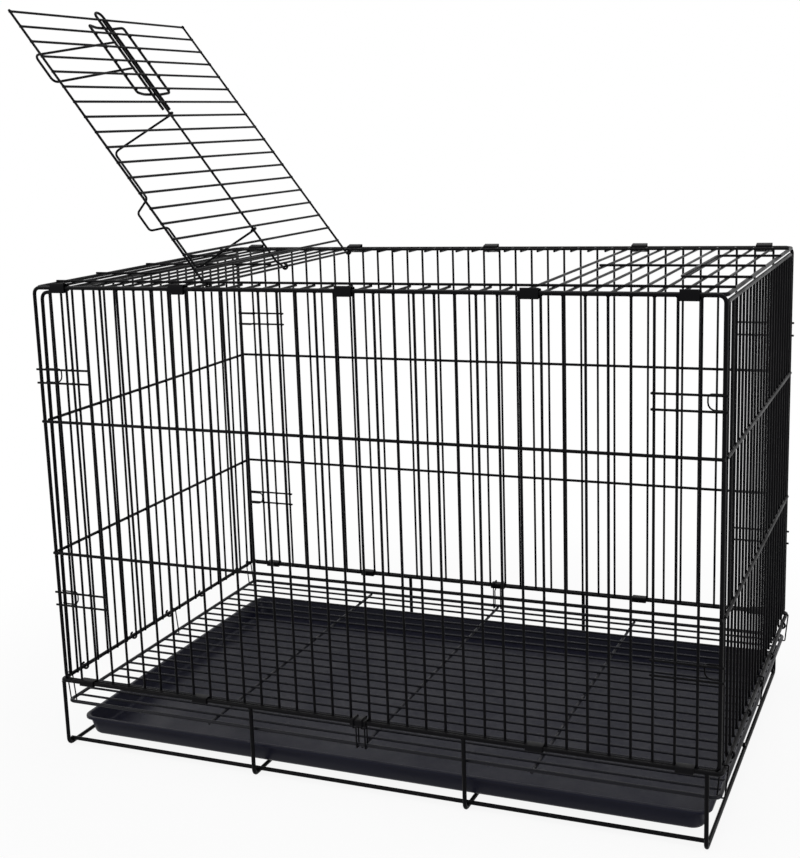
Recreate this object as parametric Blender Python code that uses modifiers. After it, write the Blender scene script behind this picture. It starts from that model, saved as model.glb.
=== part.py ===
"""Folding wire pet cage with a top door, a floor grate and a slide-out tray, on a wire stand.

Metres, +Z up. While it is built, x = 0 is the left posts, y = 0 the front wall and z = 0 the floor.
The root empty then moves the cage so that its footprint is centred on the origin.
"""

import math

import bmesh
import bpy
from mathutils import Euler, Matrix, Vector

# Driving sizes
CAGE_LENGTH = 0.910
CAGE_DEPTH = 0.572
WIRE_PITCH = 0.026
BASE_HEIGHT = 0.100  # centre of the stand's top ring and of the walls' bottom rails
WALL_HEIGHT = 0.5565  # from there to the centre of the walls' top rails
GAP = 0.0003  # clearance between touching pieces
WELD = 0.00045  # how far crossing wires are pressed into each other

# Wire sizes
UPRIGHT = 0.0034
RAIL = 0.0050
CROSS_RAIL = 0.0042
GUIDE_WIRE = 0.0030
STAND_WIRE = 0.0055
LOCK_WIRE = 0.0020
HANGER_WIRE = 0.0020
EYE_WIRE = 0.0030
BOLT_WIRE = 0.0040
HANDLE_WIRE = 0.0034

# Walls
WALL_CORNER = 0.008
CROSS_RAIL_HEIGHTS = (0.187, 0.374)  # above the bottom rails
CROSS_RAIL_PAST_POST = 0.002
GUIDE_SPACING = 0.0185
UPPER_GUIDE_DROP = 0.129  # lower wire of the upper pair, below the top rails
LOWER_GUIDE_RISE = 0.111  # lower wire of the lower pair, above the bottom rails
GUIDE_PAST_POST = 0.005
GUIDE_GAPS = 3

# Stand
STAND_RAIL_OFFSET = 0.0058  # from a wall's bottom rail out to the ring's rail
STAND_END_OFFSET = 0.004
STAND_CORNER = 0.006
LEG_BEND = 0.008
RIGHT_LEG_INSET = 0.017

# Clips
CLIP_SHEET = 0.0010
TOP_CLIP_HEIGHTS = (0.0140, 0.0085)  # outer face, inner face
BOTTOM_CLIP_HEIGHTS = (0.0085, 0.0085)

# End panels
END_TOP_DROP = 0.0085  # their top rails, below the walls' top rails
LEFT_PANEL_LEAN = 0.5  # degrees
EYES_AT_SHARES = (0.1, 0.3, 0.5, 0.7, 0.9)
EYE_TURN = 250.0  # degrees
LOCK_REACHES = {"left": 0.025, "right": 0.0185}
LOCK_CORNER = 0.007

# Roof
ROOF_RAIL_INSET = 0.0058
DOORWAY_FIRST_GAP = 9
DOORWAY_SIDE_MARGIN = 0.0545
END_LOOP_GAPS = (3.5, 3.05)  # left, right
END_LOOP_SIDE_SHARE = 0.27
END_LOOP_PAST_RAIL = 0.005

# Top door
DOOR_LENGTH = 0.4585
DOOR_CROSS_WIRES = 18
DOOR_OPEN_ANGLE = 127.0  # degrees from shut
DOOR_SIDE_SLOT = 0.0005
SIDE_WIRE_PAST_EDGE = 0.003

# Bolt, measured along the door from its hinge, and sideways from its centre wire
BOLT_TAIL = 0.294
BOLT_TIP = 0.476
BOLT_LEGS = (-0.008, 0.010)
PULL_PLACES = (0.372, 0.420)
PULL_REACH = 0.160
PULL_RISE = 0.036
PULL_CORNER = 0.008
GUARD_ENDS = (0.326, 0.450)
GUARD_HALF_WIDTH = 0.0455
GUARD_BRIDGE_HALF_WIDTH = 0.022
GUARD_CORNER = 0.004

# Carrying handle, measured along the door from its hinge
HANDLE_EYES = (0.072, 0.2850)
HANDLE_REACH = 0.100
HANDLE_CORNER = 0.007
BUMP_PLACES = (0.148, 0.158, 0.190, 0.200)
BUMP_DEPTH = 0.024
BUMP_CORNER = 0.005

# Floor grate
GRATE_DROP = 0.034  # below the stand's top ring
GRATE_SIDE_INSET = 0.002
GRATE_CORNER = 0.008
GRATE_BAR_SHARES = (0.25, 0.5, 0.75)
END_HANGER_SHARES = (0.03, 0.5, 0.97)
MIDDLE_HANGER_SPACING = 0.012
HANGER_BEND = 0.0015

# Tray
TRAY_END_MARGIN = 0.010
TRAY_SIDE_MARGIN = 0.008
TRAY_RIM_HEIGHT = 0.0400
TRAY_SHEET = 0.0016
TRAY_CORNER = 0.020
TRAY_LIP = 0.006
TRAY_SLOPE = 0.006

# Worked out from the sizes above
LENGTH_GAPS = round(CAGE_LENGTH / WIRE_PITCH)
DEPTH_GAPS = round(CAGE_DEPTH / WIRE_PITCH)
LENGTH_STEP = CAGE_LENGTH / LENGTH_GAPS
DEPTH_STEP = CAGE_DEPTH / DEPTH_GAPS
WALL_TOP = BASE_HEIGHT + WALL_HEIGHT
GRATE_HEIGHT = BASE_HEIGHT - GRATE_DROP
CROSS_RAIL_OFFSET = (UPRIGHT + CROSS_RAIL) / 2 - WELD
ROOF_LONG_WIRE = WALL_TOP + UPRIGHT - WELD
CLIP_LENGTH = LENGTH_STEP - UPRIGHT - 2 * GAP
CLIP_GAPS = (1, LENGTH_GAPS // 4, LENGTH_GAPS // 2, 3 * LENGTH_GAPS // 4, LENGTH_GAPS - 2)
CLIP_INNER_FACE = RAIL / 2 + GAP + CLIP_SHEET  # from a wall's rail centre inwards
LOCK_PLANE = CLIP_INNER_FACE + GAP + LOCK_WIRE / 2
END_POST_INSET = LOCK_PLANE + LOCK_WIRE / 2 + GAP + RAIL / 2
END_PLANE = STAND_WIRE / 2 + GAP + UPRIGHT / 2  # an end panel's plane, inwards of its hinge axis
END_HEIGHT = WALL_HEIGHT - END_TOP_DROP
LOCK_HEIGHTS = (LOWER_GUIDE_RISE, WALL_HEIGHT - UPPER_GUIDE_DROP)
DOOR_HINGE_X = DOORWAY_FIRST_GAP * LENGTH_STEP
DOORWAY_LAST_GAP = LENGTH_GAPS - DOORWAY_FIRST_GAP
DOOR_RISE = UPRIGHT + GAP  # the door's plane, out from its hinge axis
DOOR_SIDE_MARGIN = DOORWAY_SIDE_MARGIN + UPRIGHT + DOOR_SIDE_SLOT
DOOR_CENTRE = CAGE_DEPTH / 2
CENTRE_WIRE_RISE = DOOR_RISE + UPRIGHT - WELD
BOLT_RISE = DOOR_RISE + UPRIGHT / 2 + GAP + BOLT_WIRE / 2
GUARD_BRIDGE_RISE = BOLT_RISE + BOLT_WIRE + GAP
HANDLE_EYE_RADIUS = UPRIGHT / 2 + GAP + HANDLE_WIRE / 2
RUNNER_HEIGHT = STAND_WIRE * 1.5 + GAP
TRAY_BASE = RUNNER_HEIGHT + STAND_WIRE / 2 + GAP

# The curve bevel's resolution for each wire section
SECTIONS = {"square": 0, "hexagon": 1, "octagon": 2}


def collection_named(name):
    collection = bpy.data.collections.new(name)
    bpy.context.scene.collection.children.link(collection)
    return collection


def principled(name, colour, roughness, metallic):
    material = bpy.data.materials.new(name)
    material.use_nodes = True
    shader = material.node_tree.nodes["Principled BSDF"]
    shader.inputs["Base Color"].default_value = (*colour, 1.0)
    shader.inputs["Roughness"].default_value = roughness
    shader.inputs["Metallic"].default_value = metallic
    return material


def empty_at(name, location, rotation=(0.0, 0.0, 0.0), parent=None):
    empty = bpy.data.objects.new(name, None)
    empty.location = location
    empty.rotation_euler = rotation
    empty.parent = parent
    PARTS.objects.link(empty)
    return empty


def part_object(name, mesh, parent, material):
    part = bpy.data.objects.new(name, mesh)
    part.parent = parent
    mesh.materials.clear()
    mesh.materials.append(material)
    PARTS.objects.link(part)
    return part


def smooth(mesh):
    mesh.shade_smooth()
    mesh.set_sharp_from_angle(angle=math.radians(50))


def rounded(corners, radius, closed=False, steps=3):
    """The path through the corners, with each bend made an arc."""
    corners = [Vector(corner) for corner in corners]
    count = len(corners)
    path = []
    for index, corner in enumerate(corners):
        if not closed and index in (0, count - 1):
            path.append(corner)
            continue
        back = (corners[index - 1] - corner).normalized()
        ahead = (corners[(index + 1) % count] - corner).normalized()
        half = back.angle(ahead) / 2
        centre = corner + (back + ahead).normalized() * (radius / math.sin(half))
        start = corner + back * (radius / math.tan(half)) - centre
        end = corner + ahead * (radius / math.tan(half)) - centre
        for step in range(steps + 1):
            path.append(centre + start.slerp(end, step / steps) * radius)
    return path


def arc(radius, first_degrees, last_degrees, steps):
    """Points (across, up) round the origin."""
    angles = [first_degrees + (last_degrees - first_degrees) * step / steps for step in range(steps + 1)]
    return [(radius * math.cos(math.radians(a)), radius * math.sin(math.radians(a))) for a in angles]


def bent_wires(name, paths, thickness, section, closed=False):
    """A mesh of wires along the paths, each a closed tube."""
    curve = bpy.data.curves.new(name, "CURVE")
    curve.dimensions = "3D"
    square = section == "square"
    curve.bevel_depth = thickness / math.sqrt(2) if square else thickness / 2
    curve.bevel_resolution = SECTIONS[section]
    curve.use_fill_caps = True
    for path in paths:
        spline = curve.splines.new("POLY")
        spline.points.add(len(path) - 1)
        for point, place in zip(spline.points, path):
            point.co = (*place, 1.0)
            point.tilt = math.pi / 4 if square else 0.0
        spline.use_cyclic_u = closed
    guide = bpy.data.objects.new(name, curve)
    bpy.context.scene.collection.objects.link(guide)
    bpy.context.view_layer.update()
    mesh = bpy.data.meshes.new_from_object(guide.evaluated_get(bpy.context.evaluated_depsgraph_get()))
    bpy.data.objects.remove(guide)
    work = bmesh.new()
    work.from_mesh(mesh)
    bmesh.ops.remove_doubles(work, verts=work.verts, dist=0.00001)
    work.to_mesh(mesh)
    work.free()
    smooth(mesh)
    return mesh


def square_bars(name, bars, side):
    """A mesh of straight square bars, each between two points."""
    work = bmesh.new()
    for start, end in bars:
        start, end = Vector(start), Vector(end)
        turn = (end - start).to_track_quat("Z", "Y").to_matrix().to_4x4()
        scale = Matrix.Diagonal((side, side, (end - start).length, 1.0))
        bmesh.ops.create_cube(work, size=1.0, matrix=Matrix.Translation((start + end) / 2) @ turn @ scale)
    mesh = bpy.data.meshes.new(name)
    work.to_mesh(mesh)
    work.free()
    return mesh


def weld_on(part, name, mesh):
    """Joins another mesh, drawn in the part's own frame, to the part."""
    piece = bpy.data.objects.new(name, mesh)
    piece.parent = part
    piece.hide_render = True
    piece.display_type = "WIRE"
    CUTTERS.objects.link(piece)
    union = part.modifiers.new(name, "BOOLEAN")
    union.operation = "UNION"
    union.object = piece


def wire_places(gaps, step):
    return [index * step for index in range(1, gaps)]


def make_stand(root):
    low_y, high_y = -STAND_RAIL_OFFSET, CAGE_DEPTH + STAND_RAIL_OFFSET
    left, right = -STAND_END_OFFSET, CAGE_LENGTH + STAND_END_OFFSET
    corners = [(left, low_y), (right, low_y), (right, high_y), (left, high_y)]
    ring = rounded([(x, y, BASE_HEIGHT) for x, y in corners], STAND_CORNER, closed=True)
    mesh = bent_wires("stand_ring", [ring], STAND_WIRE, "octagon", closed=True)
    part_object("stand_ring", mesh, root, BLACK_PAINT)

    corner_shift = STAND_CORNER * (1 - math.sqrt(0.5))
    first, last = left + corner_shift, right - RIGHT_LEG_INSET
    legs = [
        ("stand_leg_left", first, corner_shift),
        ("stand_leg_middle_left", first + (last - first) / 3, 0.0),
        ("stand_leg_middle_right", last - (last - first) / 3, 0.0),
        ("stand_leg_right", last, 0.0),
    ]
    top = BASE_HEIGHT - STAND_WIRE / 2 - GAP
    floor = STAND_WIRE / 2
    for name, x, shift in legs:
        front, back = low_y + shift, high_y - shift
        path = rounded([(x, front, top), (x, front, floor), (x, back, floor), (x, back, top)], LEG_BEND)
        part_object(name, bent_wires(name, [path], STAND_WIRE, "octagon"), root, BLACK_PAINT)

    inset = corner_shift + LEG_BEND
    runners = [
        ("stand_runner_front", low_y + inset),
        ("stand_runner_middle", CAGE_DEPTH / 2),
        ("stand_runner_back", high_y - inset),
    ]
    for name, y in runners:
        path = [(first - STAND_WIRE / 4, y, RUNNER_HEIGHT), (last + STAND_WIRE / 4, y, RUNNER_HEIGHT)]
        part_object(name, bent_wires(name, [path], STAND_WIRE, "octagon"), root, BLACK_PAINT)


def make_long_wall(name, y, outwards, root):
    """The front or back panel. outwards is -1 at the front and 1 at the back."""
    corners = [(0, BASE_HEIGHT), (CAGE_LENGTH, BASE_HEIGHT), (CAGE_LENGTH, WALL_TOP), (0, WALL_TOP)]
    ring = rounded([(x, y, z) for x, z in corners], WALL_CORNER, closed=True)
    wall = part_object(name, bent_wires(name, [ring], RAIL, "square", closed=True), root, BLACK_PAINT)
    uprights = [((x, y, BASE_HEIGHT), (x, y, WALL_TOP)) for x in wire_places(LENGTH_GAPS, LENGTH_STEP)]
    weld_on(wall, name + "_uprights", square_bars(name + "_uprights", uprights, UPRIGHT))
    rail_y = y + outwards * CROSS_RAIL_OFFSET
    rails = []
    for height in CROSS_RAIL_HEIGHTS:
        z = BASE_HEIGHT + height
        rails.append(((-CROSS_RAIL_PAST_POST, rail_y, z), (CAGE_LENGTH + CROSS_RAIL_PAST_POST, rail_y, z)))
    weld_on(wall, name + "_cross_rails", square_bars(name + "_cross_rails", rails, CROSS_RAIL))
    guide_y = y + outwards * ((UPRIGHT + GUIDE_WIRE) / 2 - WELD)
    guide_end = GUIDE_GAPS * LENGTH_STEP + UPRIGHT
    guides = []
    for height in LOCK_HEIGHTS:
        for z in (BASE_HEIGHT + height, BASE_HEIGHT + height + GUIDE_SPACING):
            guides.append(((-GUIDE_PAST_POST, guide_y, z), (guide_end, guide_y, z)))
            far_end = CAGE_LENGTH + GUIDE_PAST_POST
            guides.append(((CAGE_LENGTH - guide_end, guide_y, z), (far_end, guide_y, z)))
    weld_on(wall, name + "_latch_guides", square_bars(name + "_latch_guides", guides, GUIDE_WIRE))


def make_end_panel(side_name, inwards, root):
    """An end panel and its locks, drawn upright round the stand's end rail. inwards is 1 on the left."""
    axis_x = -STAND_END_OFFSET if inwards > 0 else CAGE_LENGTH + STAND_END_OFFSET
    lean = math.radians(LEFT_PANEL_LEAN) if inwards > 0 else 0.0
    pivot = empty_at(side_name + "_end_pivot", (axis_x, 0.0, BASE_HEIGHT), (0.0, lean, 0.0), root)
    name = side_name + "_end_panel"
    plane = inwards * END_PLANE
    low_y, high_y = END_POST_INSET, CAGE_DEPTH - END_POST_INSET
    post_foot = STAND_WIRE / 2 + 3 * GAP
    corners = [(low_y, post_foot), (low_y, END_HEIGHT), (high_y, END_HEIGHT), (high_y, post_foot)]
    frame = rounded([(plane, y, z) for y, z in corners], WALL_CORNER)
    panel = part_object(name, bent_wires(name, [frame], RAIL, "square"), pivot, BLACK_PAINT)
    places = wire_places(DEPTH_GAPS, DEPTH_STEP)
    uprights = [((plane, y, -UPRIGHT / 4), (plane, y, END_HEIGHT)) for y in places]
    weld_on(panel, name + "_uprights", square_bars(name + "_uprights", uprights, UPRIGHT))
    rail_x = inwards * (END_PLANE - CROSS_RAIL_OFFSET)
    rails = []
    for height in CROSS_RAIL_HEIGHTS:
        ends = (low_y - CROSS_RAIL_PAST_POST, high_y + CROSS_RAIL_PAST_POST)
        rails.append(((rail_x, ends[0], height), (rail_x, ends[1], height)))
    weld_on(panel, name + "_cross_rails", square_bars(name + "_cross_rails", rails, CROSS_RAIL))
    curl = [(END_PLANE, 3 * UPRIGHT)] + arc(END_PLANE, 0.0, -EYE_TURN, 8)
    eye_places = [round(share * DEPTH_GAPS) * DEPTH_STEP for share in EYES_AT_SHARES]
    eyes = [[(inwards * x, y, z) for x, z in curl] for y in eye_places]
    weld_on(panel, name + "_eyes", bent_wires(name + "_eyes", eyes, EYE_WIRE, "hexagon"))

    for front_name, y in (("front", LOCK_PLANE), ("back", CAGE_DEPTH - LOCK_PLANE)):
        for level_name, height in zip(("lower", "upper"), LOCK_HEIGHTS):
            lock_name = "_".join((side_name, front_name, level_name, "lock"))
            reach = LOCK_REACHES[side_name]
            corners = [(0.0, 0.0), (reach, 0.0), (reach, GUIDE_SPACING), (0.0, GUIDE_SPACING)]
            path = [(plane + inwards * x, y, height + z) for x, z in corners]
            loop = bent_wires(lock_name, [rounded(path, LOCK_CORNER)], LOCK_WIRE, "square")
            part_object(lock_name, loop, pivot, BLACK_PAINT)


def make_roof(root):
    low_y, high_y = ROOF_RAIL_INSET, CAGE_DEPTH - ROOF_RAIL_INSET
    corners = [(0, low_y), (CAGE_LENGTH, low_y), (CAGE_LENGTH, high_y), (0, high_y)]
    ring = rounded([(x, y, WALL_TOP) for x, y in corners], WALL_CORNER, closed=True)
    roof = part_object(
        "roof_panel", bent_wires("roof_panel", [ring], RAIL, "square", closed=True), root, BLACK_PAINT
    )
    bars = []
    for index in range(1, LENGTH_GAPS):
        x = index * LENGTH_STEP
        if index == DOORWAY_FIRST_GAP:
            continue
        if DOORWAY_FIRST_GAP < index < DOORWAY_LAST_GAP:
            end = DOORWAY_SIDE_MARGIN + UPRIGHT / 4
            bars.append(((x, low_y, WALL_TOP), (x, end, WALL_TOP)))
            bars.append(((x, CAGE_DEPTH - end, WALL_TOP), (x, high_y, WALL_TOP)))
        else:
            bars.append(((x, low_y, WALL_TOP), (x, high_y, WALL_TOP)))
    weld_on(roof, "roof_cross_wires", square_bars("roof_cross_wires", bars, UPRIGHT))
    hinge = [(DOOR_HINGE_X, low_y, WALL_TOP), (DOOR_HINGE_X, high_y, WALL_TOP)]
    weld_on(roof, "roof_hinge_wire", bent_wires("roof_hinge_wire", [hinge], UPRIGHT, "octagon"))
    ends = (-CROSS_RAIL_PAST_POST, CAGE_LENGTH + CROSS_RAIL_PAST_POST)
    doorway_clear = (DOOR_HINGE_X - LENGTH_STEP + UPRIGHT, (DOORWAY_LAST_GAP + 1) * LENGTH_STEP - UPRIGHT)
    long_wires = [
        (ends[0], ends[1], DOORWAY_SIDE_MARGIN),
        (ends[0], ends[1], CAGE_DEPTH - DOORWAY_SIDE_MARGIN),
        (ends[0], doorway_clear[0], DOOR_CENTRE),
        (doorway_clear[1], ends[1], DOOR_CENTRE),
    ]
    bars = [((start, y, ROOF_LONG_WIRE), (end, y, ROOF_LONG_WIRE)) for start, end, y in long_wires]
    weld_on(roof, "roof_long_wires", square_bars("roof_long_wires", bars, UPRIGHT))
    side = round(END_LOOP_SIDE_SHARE * DEPTH_GAPS) * DEPTH_STEP
    loops = []
    for near, far in (
        (-END_LOOP_PAST_RAIL, END_LOOP_GAPS[0] * LENGTH_STEP),
        (CAGE_LENGTH + END_LOOP_PAST_RAIL, CAGE_LENGTH - END_LOOP_GAPS[1] * LENGTH_STEP),
    ):
        corners = [(near, side), (far, side), (far, CAGE_DEPTH - side), (near, CAGE_DEPTH - side)]
        loops.append(rounded([(x, y, ROOF_LONG_WIRE) for x, y in corners], WALL_CORNER))
    weld_on(roof, "roof_end_loops", bent_wires("roof_end_loops", loops, UPRIGHT, "hexagon"))


def sleeve_mesh(name, inner_width, heights):
    """A folded sheet sleeve: a four-sided outline with a hole like it, extruded along the rails.

    heights are the outer face's, on the left, and the inner face's.
    """
    outer_half, inner_half = (height / 2 - CLIP_SHEET for height in heights)
    curve = bpy.data.curves.new(name, "CURVE")
    curve.dimensions = "2D"
    curve.fill_mode = "BOTH"
    curve.extrude = CLIP_LENGTH / 2
    for extra in (CLIP_SHEET, 0.0):
        half_x, left_y, right_y = inner_width / 2 + extra, outer_half + extra, inner_half + extra
        outline = [(half_x, right_y), (-half_x, left_y), (-half_x, -left_y), (half_x, -right_y)]
        spline = curve.splines.new("POLY")
        spline.points.add(len(outline) - 1)
        for point, (x, y) in zip(spline.points, outline):
            point.co = (x, y, 0.0, 1.0)
        spline.use_cyclic_u = True
    guide = bpy.data.objects.new(name, curve)
    bpy.context.scene.collection.objects.link(guide)
    bpy.context.view_layer.update()
    mesh = bpy.data.meshes.new_from_object(guide.evaluated_get(bpy.context.evaluated_depsgraph_get()))
    bpy.data.objects.remove(guide)
    work = bmesh.new()
    work.from_mesh(mesh)
    bmesh.ops.remove_doubles(work, verts=work.verts, dist=0.00001)
    work.to_mesh(mesh)
    work.free()
    return mesh


def make_clips(root):
    """Sleeves round a wall's rail and the rail beside it: the roof's above, the stand's below."""
    roof_sides = (RAIL / 2, ROOF_RAIL_INSET + RAIL / 2)
    stand_sides = (RAIL / 2, STAND_RAIL_OFFSET + STAND_WIRE / 2)
    levels = [
        ("top", WALL_TOP, -roof_sides[0], roof_sides[1], TOP_CLIP_HEIGHTS),
        ("bottom", BASE_HEIGHT, -stand_sides[1], stand_sides[0], BOTTOM_CLIP_HEIGHTS),
    ]
    for level, z, outer, inner, heights in levels:
        mesh = sleeve_mesh(level + "_clip", inner - outer + 2 * GAP, heights)
        for face, base, inwards in (("front", 0.0, 1), ("back", CAGE_DEPTH, -1)):
            along_rails = Matrix(((0, 0, inwards), (inwards, 0, 0), (0, 1, 0))).to_euler()
            for number, gap in enumerate(CLIP_GAPS, start=1):
                name = "_".join((face, level, "clip", str(number)))
                clip = part_object(name, mesh, root, BLACK_PAINT)
                clip.rotation_euler = along_rails
                clip.location = ((gap + 0.5) * LENGTH_STEP, base + inwards * (inner + outer) / 2, z)


def make_grate(root):
    low_y, high_y = GRATE_SIDE_INSET, CAGE_DEPTH - GRATE_SIDE_INSET
    corners = [(0, low_y), (CAGE_LENGTH, low_y), (CAGE_LENGTH, high_y), (0, high_y)]
    ring = rounded([(x, y, GRATE_HEIGHT) for x, y in corners], GRATE_CORNER, closed=True)
    grate = part_object(
        "floor_grate", bent_wires("floor_grate", [ring], RAIL, "square", closed=True), root, BLACK_PAINT
    )
    places = wire_places(DEPTH_GAPS, DEPTH_STEP)
    wires = [((0.0, y, GRATE_HEIGHT), (CAGE_LENGTH, y, GRATE_HEIGHT)) for y in places]
    weld_on(grate, "grate_wires", square_bars("grate_wires", wires, UPRIGHT))
    bar_z = GRATE_HEIGHT - CROSS_RAIL_OFFSET
    places = [share * CAGE_LENGTH for share in GRATE_BAR_SHARES]
    bars = [((x, low_y, bar_z), (x, high_y, bar_z)) for x in places]
    weld_on(grate, "grate_bars", square_bars("grate_bars", bars, CROSS_RAIL))


def make_hangers(root):
    """Wire links: round the stand's end rails and the grate, and round the middle bottom clips and the grate."""
    reach = max(STAND_WIRE, RAIL) / 2 + GAP + HANGER_WIRE / 2
    for end, rail_x, grate_x in (
        ("left", -STAND_END_OFFSET, 0.0),
        ("right", CAGE_LENGTH + STAND_END_OFFSET, CAGE_LENGTH),
    ):
        high, low = BASE_HEIGHT + reach, GRATE_HEIGHT - reach
        side = reach + STAND_END_OFFSET / 6  # room for the link's tilt
        corners = [(rail_x + side, high), (rail_x - side, high), (grate_x - side, low), (grate_x + side, low)]
        for number, share in enumerate(END_HANGER_SHARES, start=1):
            y = (math.floor(share * DEPTH_GAPS) + 0.5) * DEPTH_STEP
            name = "_".join((end, "end_hanger", str(number)))
            path = rounded([(x, y, z) for x, z in corners], HANGER_BEND, closed=True, steps=2)
            part_object(name, bent_wires(name, [path], HANGER_WIRE, "square", closed=True), root, BLACK_PAINT)

    off = GAP + HANGER_WIRE / 2
    clip_low = BASE_HEIGHT - BOTTOM_CLIP_HEIGHTS[0] / 2 - off
    clip_high = BASE_HEIGHT + BOTTOM_CLIP_HEIGHTS[0] / 2 + off
    outer = -STAND_RAIL_OFFSET - STAND_WIRE / 2 - GAP - CLIP_SHEET - off
    inner = CLIP_INNER_FACE + off
    hold = RAIL / 2 + off
    middle = (CLIP_GAPS[2] + 0.5) * LENGTH_STEP
    grate_outer, grate_inner = GRATE_SIDE_INSET - hold, GRATE_SIDE_INSET + hold
    corners = [(inner, clip_low), (inner, clip_high), (outer, clip_high), (outer, clip_low)]
    corners += [(grate_outer, clip_low - hold), (grate_outer, GRATE_HEIGHT - hold)]
    corners += [(grate_inner, GRATE_HEIGHT - hold), (grate_inner, clip_low - hold)]
    for face, base, inwards in (("front", 0.0, 1), ("back", CAGE_DEPTH, -1)):
        for side, shift in (("left", -0.5), ("right", 0.5)):
            x = middle + shift * MIDDLE_HANGER_SPACING
            name = "_".join((face, "hanger", side))
            path = rounded([(x, base + inwards * y, z) for y, z in corners], HANGER_BEND, closed=True, steps=2)
            part_object(name, bent_wires(name, [path], HANGER_WIRE, "square", closed=True), root, BLACK_PAINT)


def tray_ring(work, end_inset, side_inset, corner, z):
    """A rounded rectangle of vertices, inset from the tray's rim."""
    left, right = TRAY_END_MARGIN + end_inset, CAGE_LENGTH - TRAY_END_MARGIN - end_inset
    low_y, high_y = TRAY_SIDE_MARGIN + side_inset, CAGE_DEPTH - TRAY_SIDE_MARGIN - side_inset
    corners = [(left, low_y, z), (right, low_y, z), (right, high_y, z), (left, high_y, z)]
    return [work.verts.new(point) for point in rounded(corners, corner, closed=True)]


def make_tray(root):
    """A pan of one sheet: floor, sloping walls and a flat lip, thickened inwards and upwards."""
    work = bmesh.new()
    foot_inset = TRAY_LIP + TRAY_SLOPE
    foot_corner = TRAY_CORNER - TRAY_LIP
    rings = [
        tray_ring(work, foot_inset, foot_inset, foot_corner, TRAY_BASE),
        tray_ring(work, TRAY_LIP, TRAY_LIP, foot_corner, TRAY_RIM_HEIGHT - TRAY_SHEET),
        tray_ring(work, 0.0, 0.0, TRAY_CORNER, TRAY_RIM_HEIGHT - TRAY_SHEET),
    ]
    work.faces.new(reversed(rings[0]))
    for lower, upper in zip(rings, rings[1:]):
        for index, vertex in enumerate(lower):
            after = (index + 1) % len(lower)
            work.faces.new((vertex, lower[after], upper[after], upper[index]))
    mesh = bpy.data.meshes.new("tray")
    work.to_mesh(mesh)
    work.free()
    tray = part_object("tray", mesh, root, TRAY_PLASTIC)
    shell = tray.modifiers.new("sheet", "SOLIDIFY")
    shell.thickness = TRAY_SHEET
    shell.offset = -1.0
    shell.use_even_offset = True


def make_door(root):
    """The top door, drawn shut (x along it, z outwards) round the roof's hinge wire, then swung open."""
    turn = Euler((0.0, -math.radians(DOOR_OPEN_ANGLE), 0.0))
    pivot = empty_at("door_pivot", (DOOR_HINGE_X, 0.0, WALL_TOP), turn, root)
    low_y, high_y = DOOR_SIDE_MARGIN, CAGE_DEPTH - DOOR_SIDE_MARGIN
    side_end = DOOR_LENGTH + SIDE_WIRE_PAST_EDGE
    sides = [((UPRIGHT, y, DOOR_RISE), (side_end, y, DOOR_RISE)) for y in (low_y, high_y)]
    door = part_object("top_door", square_bars("top_door", sides, UPRIGHT), pivot, BLACK_PAINT)
    step = DOOR_LENGTH / DOOR_CROSS_WIRES
    places = [step * number for number in range(1, DOOR_CROSS_WIRES + 1)]
    cross = [((s, low_y, DOOR_RISE), (s, high_y, DOOR_RISE)) for s in places]
    weld_on(door, "door_cross_wires", square_bars("door_cross_wires", cross, UPRIGHT - WELD))
    curl = arc(DOOR_RISE, EYE_TURN + 90, 90, 8)
    eyes = [[(s, y, n) for s, n in curl] + [(3 * UPRIGHT, y, DOOR_RISE)] for y in (low_y, high_y)]
    weld_on(door, "door_eyes", bent_wires("door_eyes", eyes, EYE_WIRE, "hexagon"))
    centre = [(s, DOOR_CENTRE, n) for s, n in curl]
    centre += [(2 * UPRIGHT, DOOR_CENTRE, DOOR_RISE), (4 * UPRIGHT, DOOR_CENTRE, CENTRE_WIRE_RISE)]
    centre.append((side_end, DOOR_CENTRE, CENTRE_WIRE_RISE))
    weld_on(door, "door_centre_wire", bent_wires("door_centre_wire", [centre], UPRIGHT, "octagon"))

    start, end = GUARD_ENDS
    wide, narrow = GUARD_HALF_WIDTH, GUARD_BRIDGE_HALF_WIDTH
    low, high = BOLT_RISE, GUARD_BRIDGE_RISE
    half = [(start, -wide, low), (end, -wide, low), (end, -narrow, high)]
    half += [(end, narrow, high), (end, wide, low), (start, wide, low)]
    half += [(start, narrow, high), (start, -narrow, high)]
    path = rounded([(s, DOOR_CENTRE + y, n) for s, y, n in half], GUARD_CORNER, closed=True, steps=3)
    guard = bent_wires("bolt_guard", [path], BOLT_WIRE, "hexagon", closed=True)
    part_object("bolt_guard", guard, pivot, BLACK_PAINT)
    make_bolt(pivot)
    make_handle(pivot)


def make_bolt(door_pivot):
    left, right = (DOOR_CENTRE + place for place in BOLT_LEGS)
    corners = [(BOLT_TAIL, left), (BOLT_TIP, left), (BOLT_TIP, right), (BOLT_TAIL, right)]
    bend = (right - left) / 2 - GAP
    path = rounded([(s, y, BOLT_RISE) for s, y in corners], bend, steps=5)
    bolt = part_object("door_bolt", bent_wires("door_bolt", [path], BOLT_WIRE, "octagon"), door_pivot, BLACK_PAINT)
    start, end = PULL_PLACES
    far_y, far_rise = left - PULL_REACH, BOLT_RISE + PULL_RISE
    pull = [(start, left, BOLT_RISE), (start, far_y, far_rise), (end, far_y, far_rise), (end, left, BOLT_RISE)]
    pull_mesh = bent_wires("bolt_pull", [rounded(pull, PULL_CORNER)], BOLT_WIRE - WELD, "hexagon")
    weld_on(bolt, "bolt_pull", pull_mesh)


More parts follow.
